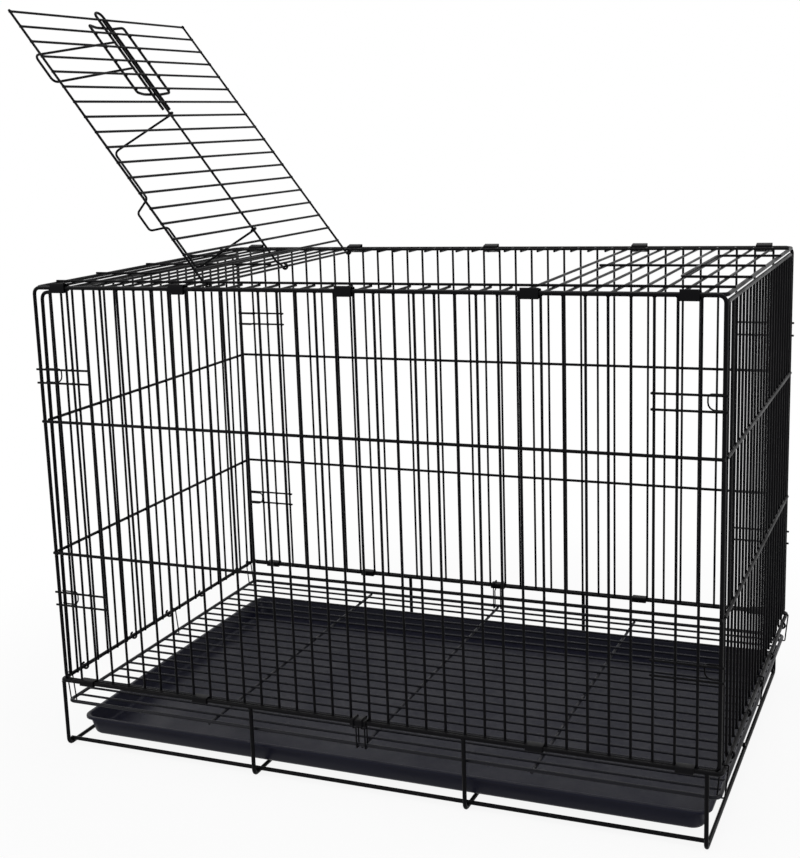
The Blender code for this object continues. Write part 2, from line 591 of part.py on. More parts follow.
def handle_path():
    """The carrying handle, drawn standing out from the door round the door's centre wire."""
    side = HANDLE_EYE_RADIUS
    levels = (HANDLE_REACH, HANDLE_REACH + BUMP_DEPTH, HANDLE_REACH + BUMP_DEPTH, HANDLE_REACH)
    bump = [(place, side, level) for place, level in zip(BUMP_PLACES, levels)]
    near_corner, far_corner = ((place, side, HANDLE_REACH) for place in HANDLE_EYES)
    first_curl, last_curl = (
        [(place, y, z) for y, z in arc(side, -EYE_TURN, 0, 8)] for place in HANDLE_EYES
    )
    first_bend = rounded([first_curl[-1], near_corner, bump[0]], HANDLE_CORNER)[1:-1]
    middle = rounded([near_corner] + bump + [far_corner], BUMP_CORNER)[1:-1]
    last_bend = rounded([bump[-1], far_corner, last_curl[-1]], HANDLE_CORNER)[1:-1]
    return first_curl + first_bend + middle + last_bend + last_curl[::-1]


def handle_rest_angle(path):
    """Radians that the handle swings to the front before its lower corner clears the roof's wires."""
    turn_door = Matrix.Rotation(-math.radians(DOOR_OPEN_ANGLE), 3, "Y")
    offset = Vector((0.0, 0.0, CENTRE_WIRE_RISE))
    allowed = UPRIGHT / 2 + GAP + HANDLE_WIRE / 2
    for tenths in range(0, 900):
        angle = math.radians(tenths / 10)
        swing = Matrix.Rotation(angle, 3, "X")
        lowest = min((turn_door @ (offset + swing @ Vector(point))).z for point in path)
        if lowest > allowed:
            return angle
    return math.radians(90)


def make_handle(door_pivot):
    path = handle_path()
    angle = handle_rest_angle(path)
    place = (0.0, DOOR_CENTRE, CENTRE_WIRE_RISE)
    pivot = empty_at("handle_pivot", place, (angle, 0.0, 0.0), door_pivot)
    mesh = bent_wires("carry_handle", [path], HANDLE_WIRE, "hexagon")
    part_object("carry_handle", mesh, pivot, BLACK_PAINT)


def centre_footprint(root):
    """Moves the root so that the cage's bounding box stands on the origin, centred."""
    bpy.context.view_layer.update()
    graph = bpy.context.evaluated_depsgraph_get()
    points = []
    for part in PARTS.objects:
        if part.type == "MESH":
            shape = part.evaluated_get(graph)
            points += [shape.matrix_world @ vertex.co for vertex in shape.data.vertices]
    low = Vector([min(point[axis] for point in points) for axis in range(3)])
    high = Vector([max(point[axis] for point in points) for axis in range(3)])
    root.location = (-(low.x + high.x) / 2, -(low.y + high.y) / 2, -low.z)


for old in list(bpy.data.objects):
    bpy.data.objects.remove(old)
PARTS = collection_named("pet_cage")
CUTTERS = collection_named("cutters")
BLACK_PAINT = principled("black_paint", (0.012, 0.012, 0.014), 0.35, 0.0)
TRAY_PLASTIC = principled("tray_plastic", (0.010, 0.012, 0.018), 0.25, 0.0)

cage = empty_at("cage_root", (0.0, 0.0, 0.0))
make_stand(cage)
make_long_wall("front_panel", 0.0, -1, cage)
make_long_wall("back_panel", CAGE_DEPTH, 1, cage)
make_end_panel("left", 1, cage)
make_end_panel("right", -1, cage)
make_roof(cage)
make_clips(cage)
make_grate(cage)
make_hangers(cage)
make_tray(cage)
make_door(cage)
centre_footprint(cage)
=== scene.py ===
# %% [markdown]
# # A folding wire pet cage
#
# The cage is almost nothing but wire: straight rods cut to length, rods bent to a path, and small welds
# where they cross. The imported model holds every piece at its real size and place, with square and
# eight-sided wires. This script makes each piece again as round coated wire, and keeps every size and every
# place of the model.

import math
from collections import namedtuple

import bpy
from mathutils import Matrix, Vector


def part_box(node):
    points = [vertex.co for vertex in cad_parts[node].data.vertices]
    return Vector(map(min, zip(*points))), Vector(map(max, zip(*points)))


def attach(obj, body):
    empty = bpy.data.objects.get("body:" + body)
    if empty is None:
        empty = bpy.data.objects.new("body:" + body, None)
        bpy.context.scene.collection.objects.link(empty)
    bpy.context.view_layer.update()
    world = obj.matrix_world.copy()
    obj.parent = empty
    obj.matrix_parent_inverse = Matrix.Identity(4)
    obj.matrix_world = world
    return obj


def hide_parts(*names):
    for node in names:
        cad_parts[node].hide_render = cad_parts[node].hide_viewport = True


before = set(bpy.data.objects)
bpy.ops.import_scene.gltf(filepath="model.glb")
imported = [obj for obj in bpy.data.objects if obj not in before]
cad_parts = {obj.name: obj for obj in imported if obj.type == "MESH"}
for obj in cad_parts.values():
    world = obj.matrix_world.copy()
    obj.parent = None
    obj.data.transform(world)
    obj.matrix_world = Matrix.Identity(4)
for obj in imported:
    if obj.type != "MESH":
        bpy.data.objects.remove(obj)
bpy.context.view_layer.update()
bpy.ops.object.select_all(action="DESELECT")

# %% [markdown]
# ## The sizes
#
# Each kind of wire comes off one coil, so it has one thickness wherever it is used. The lengths come from
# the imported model's own boxes, so the script measures the model and doesn't repeat its sizes. What a box
# can't tell, such as how far a guide wire runs past a corner post, is written here.

# %% Thicknesses of wire and sheet, and the gaps between pieces
UPRIGHT = 0.0034
RAIL = 0.0050
CROSS_RAIL = 0.0042
GUIDE_WIRE = 0.0030
STAND_WIRE = 0.0055
LOCK_WIRE = 0.0020
HANGER_WIRE = 0.0020
EYE_WIRE = 0.0032
BOLT_WIRE = 0.0040
HANDLE_WIRE = 0.0034
CLIP_SHEET = 0.0010
GAP = 0.0003  # between pieces that touch and move
WELD = 0.00045  # how far crossing wires are pressed into each other
PITCH = 0.026  # between the middles of neighbouring wires

# %% The cage's corner, and places measured from it
GUIDE_PAST_POST = 0.005
wall_low, wall_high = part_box("front_panel")
back_low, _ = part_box("back_panel")
ring_low, ring_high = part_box("stand_ring")
LENGTH = wall_high.x - wall_low.x - 2 * GUIDE_PAST_POST
DEPTH = back_low.y - wall_high.y + RAIL
BASE = (ring_low.z + ring_high.z) / 2
TOP = wall_high.z - RAIL / 2
CORNER = Vector((wall_low.x + GUIDE_PAST_POST, wall_high.y - RAIL / 2, 0.0))


def at(x, y, z):
    """A place measured from the left front post: along the cage, into it, and up from the floor."""
    return CORNER + Vector((x, y, z))


LENGTH_GAPS = round(LENGTH / PITCH)
DEPTH_GAPS = round(DEPTH / PITCH)
LENGTH_STEP = LENGTH / LENGTH_GAPS
DEPTH_STEP = DEPTH / DEPTH_GAPS
ALONG = (LENGTH_STEP, 0.0, 0.0)  # from one wire to the next
ACROSS = (0.0, DEPTH_STEP, 0.0)
print(f"{LENGTH_GAPS} gaps of {1000 * LENGTH_STEP:.1f} mm along")
print(f"{DEPTH_GAPS} gaps of {1000 * DEPTH_STEP:.1f} mm across")
print(f"walls from {1000 * BASE:.1f} to {1000 * TOP:.1f} mm")

# %% [markdown]
# ## The camera
#
# The photograph was taken from the right front, a little above the cage's top. Long rows of equal gaps give
# a camera away: its place, its turn and its lens were worked out from where the walls' wires cross the
# rails, and the frame is shifted to the side because the photograph was cropped off centre.

# %% The camera
CAMERA_FROM_CORNER = (1.1603, -1.5578, 0.8488)
CAMERA_TURN = (78.336, 2.215, 23.762)  # degrees
CAMERA_LENS = 59.31  # mm
CAMERA_SHIFT = (0.0561, -0.0099)

bpy.ops.object.camera_add(
    location=at(*CAMERA_FROM_CORNER), rotation=[math.radians(turn) for turn in CAMERA_TURN]
)
camera = bpy.context.object
camera.data.lens = CAMERA_LENS
camera.data.shift_x, camera.data.shift_y = CAMERA_SHIFT
bpy.context.scene.camera = camera
bpy.context.scene.view_settings.view_transform = "Standard"
print("camera at", [round(value, 3) for value in camera.location])

# %% [markdown]
# ## The stage
#
# A black cage on white is lit like any dark glossy thing: the light comes from large pale surfaces, and the
# wires show them as thin grey lines. The white is the colour of the floor and the world, and it doesn't
# light the cage. The camera sees it straight, mirrored in a wire or through something clear. Light Path
# tells these rays from a ray of light, so each kind gets its own strength.


# %% Helpers for node trees
def calculate(tree, operation, first, second):
    """The result of a Math node on two outputs."""
    node = tree.nodes.new("ShaderNodeMath")
    node.operation = operation
    tree.links.new(first, node.inputs[0])
    tree.links.new(second, node.inputs[1])
    return node.outputs[0]


def mix_by_ray(tree, lit, seen, kinds):
    """Shows one shader to the given kinds of ray and another to all the rest."""
    path = tree.nodes.new("ShaderNodeLightPath")
    chosen = path.outputs[kinds[0]]
    for kind in kinds[1:]:
        chosen = calculate(tree, "MAXIMUM", chosen, path.outputs[kind])
    mix = tree.nodes.new("ShaderNodeMixShader")
    tree.links.new(chosen, mix.inputs[0])
    tree.links.new(lit, mix.inputs[1])
    tree.links.new(seen, mix.inputs[2])
    return mix.outputs[0]


def remap(tree, value, old_range, new_range):
    """Stretches an output from one range of values to another and stops it there."""
    node = tree.nodes.new("ShaderNodeMapRange")
    tree.links.new(value, node.inputs["Value"])
    for name, number in zip(("From Min", "From Max", "To Min", "To Max"), (*old_range, *new_range)):
        node.inputs[name].default_value = number
    return node.outputs["Result"]


WHITE = (1.0, 1.0, 1.0, 1.0)
WHITE_RAYS = ("Is Camera Ray", "Is Glossy Ray", "Is Transmission Ray")

# %% The world
WORLD_LIGHT = 0.55
world = bpy.data.worlds.new("pale studio")
bpy.context.scene.world = world
world.use_nodes = True
sky = world.node_tree
sky.nodes.clear()
soft_light = sky.nodes.new("ShaderNodeBackground")
soft_light.inputs["Strength"].default_value = WORLD_LIGHT
white = sky.nodes.new("ShaderNodeBackground")
white.inputs["Color"].default_value = WHITE
world_out = sky.nodes.new("ShaderNodeOutputWorld")
world_shown = mix_by_ray(sky, soft_light.outputs[0], white.outputs[0], WHITE_RAYS)
sky.links.new(world_shown, world_out.inputs["Surface"])
print("world:", world.name)

# %% The floor
FLOOR_SIZE = 14.0
FLOOR_PAINT = (0.80, 0.80, 0.80, 1.0)
SHADOW_SHARE = 0.10  # of the floor's white, near the cage
SHADOW_FADES = (0.55, 1.1)  # metres from the middle
bpy.ops.mesh.primitive_plane_add(size=FLOOR_SIZE, location=(0.0, 0.0, 0.0))
floor = bpy.context.object
floor.name = "floor"
floor_paint = bpy.data.materials.new("white floor")
floor_paint.use_nodes = True
paint = floor_paint.node_tree
paint.nodes.clear()
matt = paint.nodes.new("ShaderNodeBsdfDiffuse")
matt.inputs["Color"].default_value = FLOOR_PAINT
bright = paint.nodes.new("ShaderNodeEmission")
bright.inputs["Color"].default_value = WHITE
shaded_white = paint.nodes.new("ShaderNodeMixShader")
floor_place = paint.nodes.new("ShaderNodeTexCoord")
from_middle = paint.nodes.new("ShaderNodeVectorMath")
from_middle.operation = "LENGTH"
paint.links.new(floor_place.outputs["Object"], from_middle.inputs[0])
fade = remap(paint, from_middle.outputs["Value"], SHADOW_FADES, (1.0 - SHADOW_SHARE, 1.0))
fade.node.interpolation_type = "SMOOTHSTEP"
paint.links.new(fade, shaded_white.inputs[0])
paint.links.new(matt.outputs[0], shaded_white.inputs[1])
paint.links.new(bright.outputs[0], shaded_white.inputs[2])
floor_out = paint.nodes.new("ShaderNodeOutputMaterial")
floor_shown = mix_by_ray(paint, matt.outputs[0], shaded_white.outputs[0], WHITE_RAYS)
paint.links.new(floor_shown, floor_out.inputs["Surface"])
floor.data.materials.append(floor_paint)
print("floor of", FLOOR_SIZE, "m")

# %% The lamps
# name: place, what it points at, size in metres, watts
LAMPS = {
    "overhead softbox": ((0.1, 0.2, 2.9), (0.0, 0.0, 0.4), 2.6, 34.0),
    "front left softbox": ((-2.2, -2.4, 1.9), (0.0, 0.0, 0.5), 1.8, 26.0),
    "right softbox": ((2.8, -0.6, 1.7), (0.3, 0.0, 0.5), 1.6, 24.0),
}
for name, (place, aim, size, watts) in LAMPS.items():
    turn = (Vector(aim) - Vector(place)).to_track_quat("-Z", "Y").to_euler()
    bpy.ops.object.light_add(type="AREA", location=place, rotation=turn)
    lamp = bpy.context.object
    lamp.name = name
    lamp.data.size = size
    lamp.data.energy = watts
    print(name, watts, "W")

# %% [markdown]
# ## The finishes
#
# The wire is dipped or sprayed black and baked. Close up such a coat is never flat: it has a fine pebbled
# skin, it is a little duller where hands rub it, and it holds a trace of dust on what faces up. The coat on
# the clips' sheet is a little duller, and the grate's is paler, as it is walked on. The tray is moulded
# plastic, bluer, with a coarser grain and light scuffs. All of them need the same three effects, so these
# are one node group with its own inputs, and each material gives it other values. The group reads the
# piece's own coordinates and its own normals, so nothing slides when a panel folds.


# %% A noise pattern
def noise(tree, place, scale, detail):
    """A noise pattern from 0 to 1 at a place. Its scale is a number or an output."""
    node = tree.nodes.new("ShaderNodeTexNoise")
    node.inputs["Detail"].default_value = detail
    tree.links.new(place, node.inputs["Vector"])
    if isinstance(scale, float):
        node.inputs["Scale"].default_value = scale
    else:
        tree.links.new(scale, node.inputs["Scale"])
    return node.outputs["Fac"]


# %% The group's inputs and outputs
surface = bpy.data.node_groups.new("used surface", "ShaderNodeTree")
GROUP_INPUTS = {
    "Colour": (0.01, 0.01, 0.01, 1.0),
    "Dust Colour": (0.2, 0.19, 0.18, 1.0),
    "Dust": 0.1,
    "Skin Scale": 900.0,
    "Roughness": 0.35,
    "Rubbing": 0.2,
}
GROUP_OUTPUTS = {"Colour": "NodeSocketColor", "Roughness": "NodeSocketFloat", "Height": "NodeSocketFloat"}
for name, value in GROUP_INPUTS.items():
    kind = "NodeSocketFloat" if isinstance(value, float) else "NodeSocketColor"
    surface.interface.new_socket(name=name, in_out="INPUT", socket_type=kind).default_value = value
for name, kind in GROUP_OUTPUTS.items():
    surface.interface.new_socket(name=name, in_out="OUTPUT", socket_type=kind)
print("group:", surface.name, len(surface.interface.items_tree), "sockets")

# %% The skin, the rubbing and the dust
HAND_SCALE = 14.0  # patterns to a metre of rubbed and unrubbed places
HAND_NOISE = (0.35, 0.65)  # from least to most rubbed
DUST_SCALE = 120.0
DUST_NOISE = (0.42, 0.72)  # from least to most dust
LEAST_DUST = 0.15
FACING_UP = (0.2, 1.0)  # the normal's z, where dust begins to lie and where all of it lies
given = surface.nodes.new("NodeGroupInput")
result = surface.nodes.new("NodeGroupOutput")
where = surface.nodes.new("ShaderNodeTexCoord")
skin = noise(surface, where.outputs["Object"], given.outputs["Skin Scale"], detail=2.0)
rubbed = noise(surface, where.outputs["Object"], HAND_SCALE, detail=3.0)
settled = noise(surface, where.outputs["Object"], DUST_SCALE, detail=4.0)

facing = surface.nodes.new("ShaderNodeSeparateXYZ")
surface.links.new(where.outputs["Normal"], facing.inputs[0])
on_top = remap(surface, facing.outputs["Z"], FACING_UP, (0.0, 1.0))
patchy = remap(surface, settled, DUST_NOISE, (LEAST_DUST, 1.0))
lying = calculate(surface, "MULTIPLY", on_top, patchy)
dust = calculate(surface, "MULTIPLY", lying, given.outputs["Dust"])
dusted = surface.nodes.new("ShaderNodeMix")
dusted.data_type = "RGBA"
surface.links.new(dust, dusted.inputs["Factor"])
surface.links.new(given.outputs["Colour"], dusted.inputs["A"])
surface.links.new(given.outputs["Dust Colour"], dusted.inputs["B"])
surface.links.new(dusted.outputs["Result"], result.inputs["Colour"])

wear = remap(surface, rubbed, HAND_NOISE, (-0.5, 0.5))
duller = calculate(surface, "MULTIPLY", wear, given.outputs["Rubbing"])
rough = calculate(surface, "ADD", given.outputs["Roughness"], duller)
rough.node.use_clamp = True
surface.links.new(rough, result.inputs["Roughness"])
surface.links.new(skin, result.inputs["Height"])
print("group:", surface.name, len(surface.nodes), "nodes")

# %% [markdown]
# A material places the group, gives it its values and feeds a Principled shader. The pebbled skin goes
# through a Bump node, whose distance is the real height of the pebbles, less than a tenth of a millimetre.


# %% A finish made with the group
def finish(name, colour, roughness, specular, skin_scale, skin_height, dust, rubbing):
    material = bpy.data.materials.new(name)
    material.use_nodes = True
    tree = material.node_tree
    shader = tree.nodes["Principled BSDF"]
    used = tree.nodes.new("ShaderNodeGroup")
    used.node_tree = surface
    used.inputs["Colour"].default_value = (*colour, 1.0)
    used.inputs["Dust"].default_value = dust
    used.inputs["Skin Scale"].default_value = skin_scale
    used.inputs["Roughness"].default_value = roughness
    used.inputs["Rubbing"].default_value = rubbing
    bump = tree.nodes.new("ShaderNodeBump")
    bump.inputs["Strength"].default_value = 1.0
    bump.inputs["Distance"].default_value = skin_height
    tree.links.new(used.outputs["Height"], bump.inputs["Height"])
    tree.links.new(used.outputs["Colour"], shader.inputs["Base Color"])
    tree.links.new(used.outputs["Roughness"], shader.inputs["Roughness"])
    tree.links.new(bump.outputs["Normal"], shader.inputs["Normal"])
    shader.inputs["Specular IOR Level"].default_value = specular
    print("finish:", name)
    return material


WIRE_COAT = finish(
    "black wire coat", (0.0022, 0.0021, 0.0028), roughness=0.38, specular=0.05, skin_scale=700.0,
    skin_height=0.00004, dust=0.03, rubbing=0.16,
)
GRATE_COAT = finish(
    "worn grate coat", (0.0060, 0.0062, 0.0095), roughness=0.34, specular=0.12, skin_scale=700.0,
    skin_height=0.00004, dust=0.05, rubbing=0.20,
)
SHEET_COAT = finish(
    "black sheet coat", (0.0026, 0.0025, 0.0033), roughness=0.42, specular=0.06, skin_scale=500.0,
    skin_height=0.00005, dust=0.04, rubbing=0.18,
)
TRAY_PLASTIC = finish(
    "dark tray plastic", (0.0060, 0.0064, 0.0150), roughness=0.36, specular=0.11, skin_scale=260.0,
    skin_height=0.00006, dust=0.04, rubbing=0.14,
)

# %% [markdown]
# ## Making wire
#
# A straight wire is a cylinder with eased ends. A bent wire starts as a single point that is extruded from
# corner to corner in edit mode; its corners are bevelled into bends, and the line becomes a curve with a
# round bevel and then a mesh. A Skin modifier could do the same, but a curve keeps one thickness all along.
# An end that curls round another wire is spun about that wire's middle.


# %% Selecting one piece
def only(piece):
    bpy.ops.object.select_all(action="DESELECT")
    piece.select_set(True)
    bpy.context.view_layer.objects.active = piece


def apply_place(piece):
    """Moves a piece's place, turn and scale into its mesh."""
    only(piece)
    bpy.ops.object.transform_apply(location=True, rotation=True, scale=True)
    return piece


# %% A straight wire
WIRE_SIDES = 12
THIN_WIRE_SIDES = 10
EASED_END = 0.16  # of the thickness


def ease_ends(thickness):
    """In edit mode, bevels the rims of the flat ends."""
    bpy.ops.mesh.select_mode(type="FACE")
    bpy.ops.mesh.select_all(action="DESELECT")
    bpy.ops.mesh.select_face_by_sides(number=4, type="GREATER")
    bpy.ops.mesh.bevel(offset=thickness * EASED_END, segments=1, affect="EDGES")


def rod(start, end, thickness, sides=WIRE_SIDES):
    """A straight cut wire between two points."""
    start, end = Vector(start), Vector(end)
    along = end - start
    bpy.ops.mesh.primitive_cylinder_add(
        vertices=sides, radius=thickness / 2, depth=along.length, location=(start + end) / 2,
        rotation=along.to_track_quat("Z", "Y").to_euler(),
    )
    bpy.ops.object.mode_set(mode="EDIT")
    ease_ends(thickness)
    bpy.ops.object.mode_set(mode="OBJECT")
    return apply_place(bpy.context.object)


# %% A bent wire
Curl = namedtuple("Curl", "centre axis degrees")  # turns right-handed about the axis
CURL_STEPS = 12
BEND_STEPS = 4
SEED_SIZE = 0.001  # of the plane that is merged into the first point
SAME_PLACE = 0.00005  # points this near each other are one
AT_CORNER = 0.0002  # a point this near a corner is that corner


def draw_line(moves, closed):
    """Extrudes a point from corner to corner in edit mode and returns the corners that need a bend."""
    place = Vector(moves[0])
    route = list(moves[1:]) + ([place] if closed else [])
    corners = [place.copy()] if closed else []
    bpy.ops.mesh.primitive_plane_add(size=SEED_SIZE, location=place)
    bpy.ops.object.mode_set(mode="EDIT")
    bpy.ops.mesh.select_mode(type="VERT")
    bpy.ops.mesh.select_all(action="SELECT")
    bpy.ops.mesh.merge(type="CENTER")
    for number, move in enumerate(route):
        if isinstance(move, Curl):
            centre, turn = Vector(move.centre), math.radians(move.degrees)
            bpy.ops.mesh.spin(steps=CURL_STEPS, angle=-turn, center=centre, axis=move.axis)
            place = centre + Matrix.Rotation(turn, 3, move.axis) @ (place - centre)
            continue
        bpy.ops.mesh.extrude_region_move(TRANSFORM_OT_translate={"value": Vector(move) - place})
        place = Vector(move)
        last = number == len(route) - 1
        if not last and not isinstance(route[number + 1], Curl):
            corners.append(place.copy())
    bpy.ops.mesh.select_all(action="SELECT")
    bpy.ops.mesh.remove_doubles(threshold=SAME_PLACE)
    bpy.ops.mesh.select_all(action="DESELECT")
    bpy.ops.object.mode_set(mode="OBJECT")
    return corners


def bevel_corners(line, corners, size):
    """Bends a line of edges at the given corners."""
    for vertex in line.data.vertices:
        place = line.matrix_world @ vertex.co
        vertex.select = any((place - corner).length < AT_CORNER for corner in corners)
    bpy.ops.object.mode_set(mode="EDIT")
    bpy.ops.mesh.bevel(offset_type="OFFSET", offset=size, segments=BEND_STEPS, affect="VERTICES")
    bpy.ops.mesh.select_all(action="DESELECT")
    bpy.ops.object.mode_set(mode="OBJECT")


def bent_wire(moves, thickness, bends=0.0, closed=False, sides=WIRE_SIDES):
    """A round wire along its middle line. bends is one size for every corner, or a size for each."""
    corners = draw_line(moves, closed)
    line = bpy.context.object
    sizes = list(bends) if isinstance(bends, (list, tuple)) else [bends] * len(corners)
    for size in sorted(set(sizes)):
        if size:
            bevel_corners(line, [corner for corner, own in zip(corners, sizes) if own == size], size)
    bpy.ops.object.convert(target="CURVE")
    wire = bpy.context.object
    wire.data.bevel_depth = thickness / 2
    wire.data.bevel_resolution = (sides - 4) // 2
    bpy.ops.object.convert(target="MESH")
    bpy.ops.object.mode_set(mode="EDIT")
    bpy.ops.mesh.select_all(action="SELECT")
    if not closed:
        bpy.ops.mesh.fill_holes(sides=0)
        bpy.ops.mesh.select_all(action="SELECT")
    bpy.ops.mesh.normals_make_consistent(inside=False)
    if not closed:
        ease_ends(thickness)
    bpy.ops.object.mode_set(mode="OBJECT")
    return apply_place(bpy.context.object)


# %% Rows, copies and joined pieces
def repeat(piece, count, step):
    """Lays copies of a piece in a row, within its own mesh."""
    row = piece.modifiers.new("row", "ARRAY")
    row.use_relative_offset = False
    row.use_constant_offset = True
    row.constant_offset_displace = step
    row.count = count
    only(piece)
    bpy.ops.object.modifier_apply(modifier=row.name)
    return piece


def copy_to(piece, shift):
    """A copy with its own mesh, moved by a distance."""
    only(piece)
    bpy.ops.object.duplicate()
    bpy.ops.transform.translate(value=shift)
    return apply_place(bpy.context.object)


def join(pieces):
    only(pieces[0])
    for piece in pieces[1:]:
        piece.select_set(True)
    bpy.ops.object.join()
    return bpy.context.object


def lay(piece, place):
    """Moves a piece drawn at the origin to its place and turn on the cage."""
    piece.matrix_world = place
    return apply_place(piece)


# %% [markdown]
# A spot weld presses the two wires together and leaves a small flattened bead between them. From a step
# away the beads are all that tells a welded panel from a drawn one, and there are hundreds, so a bead has
# few faces.


# %% A weld bead
BEAD_SEGMENTS = 8
BEAD_RINGS = 4


def weld_bead(place, size):
    """A flattened bead of the given size along x, y and z."""
    bpy.ops.mesh.primitive_uv_sphere_add(
        segments=BEAD_SEGMENTS, ring_count=BEAD_RINGS, radius=0.5, location=place
    )
    bpy.ops.object.mode_set(mode="EDIT")
    bpy.ops.transform.resize(value=size)
    bpy.ops.mesh.select_all(action="DESELECT")
    bpy.ops.object.mode_set(mode="OBJECT")
    return apply_place(bpy.context.object)


# %% Handing a finished piece over
SMOOTH_ANGLE = math.radians(40)
all_pieces = []


def hand_over(piece, name, material, body, *nodes):
    """Names a piece, gives it its finish, and lets it stand for its CAD nodes on their body."""
    only(piece)
    bpy.ops.object.shade_smooth_by_angle(angle=SMOOTH_ANGLE)
    piece.name = piece.data.name = name
    piece.data.materials.clear()
    piece.data.materials.append(material)
    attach(piece, body)
    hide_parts(*nodes)
    all_pieces.append(piece)
    print(f"{name}: {len(piece.data.polygons)} faces, on {body}")


# %% [markdown]
# ## The stand
#
# The cage stands on a ring of the thickest wire, carried by four U-shaped legs, each bent from one rod that
# runs across the floor from front to back. Three runners lie along the floor over the legs and are welded
# to them. The ring is a closed line with tight bends. The left leg stands where the ring's corners turn, so
# it is a little narrower, and the right one stands a little further in.

# %% The stand's ring
STAND_CORNER = 0.006
LEG_BEND = 0.008
low_y, high_y = ring_low.y + STAND_WIRE / 2, ring_high.y - STAND_WIRE / 2
left, right = ring_low.x + STAND_WIRE / 2, ring_high.x - STAND_WIRE / 2
ring_corners = [(left, low_y, BASE), (right, low_y, BASE), (right, high_y, BASE), (left, high_y, BASE)]
stand_ring = bent_wire(ring_corners, STAND_WIRE, STAND_CORNER, closed=True)
hand_over(stand_ring, "wire_stand_ring", WIRE_COAT, "cage", "stand_ring")

# %% The legs
LEG_TOP_DROP = STAND_WIRE * 0.4  # from the ring's middle, so that the leg's end is pressed into the ring
LEG_WELD_DROP = STAND_WIRE * 0.45
LEG_WELD = (STAND_WIRE * 1.25, STAND_WIRE * 1.25, STAND_WIRE * 0.7)
RUNNER_WELD = (STAND_WIRE * 1.2, STAND_WIRE * 1.2, STAND_WIRE * 0.6)
runner_places = [
    (node, (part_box(node)[0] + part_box(node)[1]) / 2)
    for node in ("stand_runner_front", "stand_runner_middle", "stand_runner_back")
]
for node in ("stand_leg_left", "stand_leg_middle_left", "stand_leg_middle_right", "stand_leg_right"):
    leg_low, leg_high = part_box(node)
    x = (leg_low.x + leg_high.x) / 2
    front, back = leg_low.y + STAND_WIRE / 2, leg_high.y - STAND_WIRE / 2
    floor_z, top_z = STAND_WIRE / 2, BASE - LEG_TOP_DROP
    u_shape = [(x, front, top_z), (x, front, floor_z), (x, back, floor_z), (x, back, top_z)]
    parts = [bent_wire(u_shape, STAND_WIRE, LEG_BEND)]
    parts += [weld_bead((x, y, BASE - LEG_WELD_DROP), LEG_WELD) for y in (front, back)]
    parts += [weld_bead((x, middle.y, STAND_WIRE), RUNNER_WELD) for _, middle in runner_places]
    hand_over(join(parts), "wire_" + node, WIRE_COAT, "cage", node)

# %% The runners
for node, middle in runner_places:
    runner_low, runner_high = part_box(node)
    start, end = (runner_low.x, middle.y, middle.z), (runner_high.x, middle.y, middle.z)
    hand_over(rod(start, end, STAND_WIRE), "wire_" + node, WIRE_COAT, "cage", node)

# %% [markdown]
# ## The front and back walls
#
# A wall is a closed frame of rail wire with rounded corners, filled with thin uprights a gap apart. Two
# cross rails lie over the uprights outside, and near each corner a pair of short guide wires takes one of
# the end panels' locks. One upright is made and repeated along the wall, and so is each row of weld beads.

# %% Sizes of the walls
WALL_CORNER = 0.008
CROSS_RAIL_HEIGHTS = (0.187, 0.374)  # above the bottom rail
CROSS_RAIL_PAST_POST = 0.002
CROSS_RAIL_OFFSET = (UPRIGHT + CROSS_RAIL) / 2 - WELD
GUIDE_SPACING = 0.0185
LOWER_GUIDE_RISE = 0.111  # lower wire of the lower pair, above the bottom rail
UPPER_GUIDE_DROP = 0.129  # lower wire of the upper pair, below the top rail
GUIDE_HEIGHTS = (LOWER_GUIDE_RISE, TOP - BASE - UPPER_GUIDE_DROP)
GUIDE_GAPS = 3
BUTT_WELD = (0.0048, 0.0042, 0.0030)
CROSS_WELD = (0.0052, 0.0022, 0.0052)


# %% A long wall
def long_wall(name, node, y, outwards):
    """The front or back wall. outwards is -1 at the front and 1 at the back."""
    corners = [at(0, y, BASE), at(LENGTH, y, BASE), at(LENGTH, y, TOP), at(0, y, TOP)]
    parts = [bent_wire(corners, RAIL, WALL_CORNER, closed=True)]
    count = LENGTH_GAPS - 1
    parts.append(repeat(rod(at(LENGTH_STEP, y, BASE), at(LENGTH_STEP, y, TOP), UPRIGHT), count, ALONG))
    for z in (BASE + RAIL / 2, TOP - RAIL / 2):
        parts.append(repeat(weld_bead(at(LENGTH_STEP, y, z), BUTT_WELD), count, ALONG))
    rail_y, weld_y = y + outwards * CROSS_RAIL_OFFSET, y + outwards * UPRIGHT / 2
    for height in CROSS_RAIL_HEIGHTS:
        z = BASE + height
        ends = (-CROSS_RAIL_PAST_POST, LENGTH + CROSS_RAIL_PAST_POST)
        parts.append(rod(at(ends[0], rail_y, z), at(ends[1], rail_y, z), CROSS_RAIL))
        parts.append(repeat(weld_bead(at(LENGTH_STEP, weld_y, z), CROSS_WELD), count, ALONG))
        parts += [weld_bead(at(x, weld_y, z), CROSS_WELD) for x in (0.0, LENGTH)]
    guide_y = y + outwards * ((UPRIGHT + GUIDE_WIRE) / 2 - WELD)
    guide_end = GUIDE_GAPS * LENGTH_STEP + UPRIGHT
    for height in GUIDE_HEIGHTS:
        for z in (BASE + height, BASE + height + GUIDE_SPACING):
            for near, far in ((-GUIDE_PAST_POST, guide_end), (LENGTH - guide_end, LENGTH + GUIDE_PAST_POST)):
                parts.append(rod(at(near, guide_y, z), at(far, guide_y, z), GUIDE_WIRE))
            for first in (0, LENGTH_GAPS - GUIDE_GAPS):
                bead = weld_bead(at(first * LENGTH_STEP, weld_y, z), CROSS_WELD)
                parts.append(repeat(bead, GUIDE_GAPS + 1, ALONG))
    hand_over(join(parts), name, WIRE_COAT, "cage", node)


long_wall("wire_front_wall", "front_panel", 0.0, -1)
long_wall("wire_back_wall", "back_panel", DEPTH, 1)

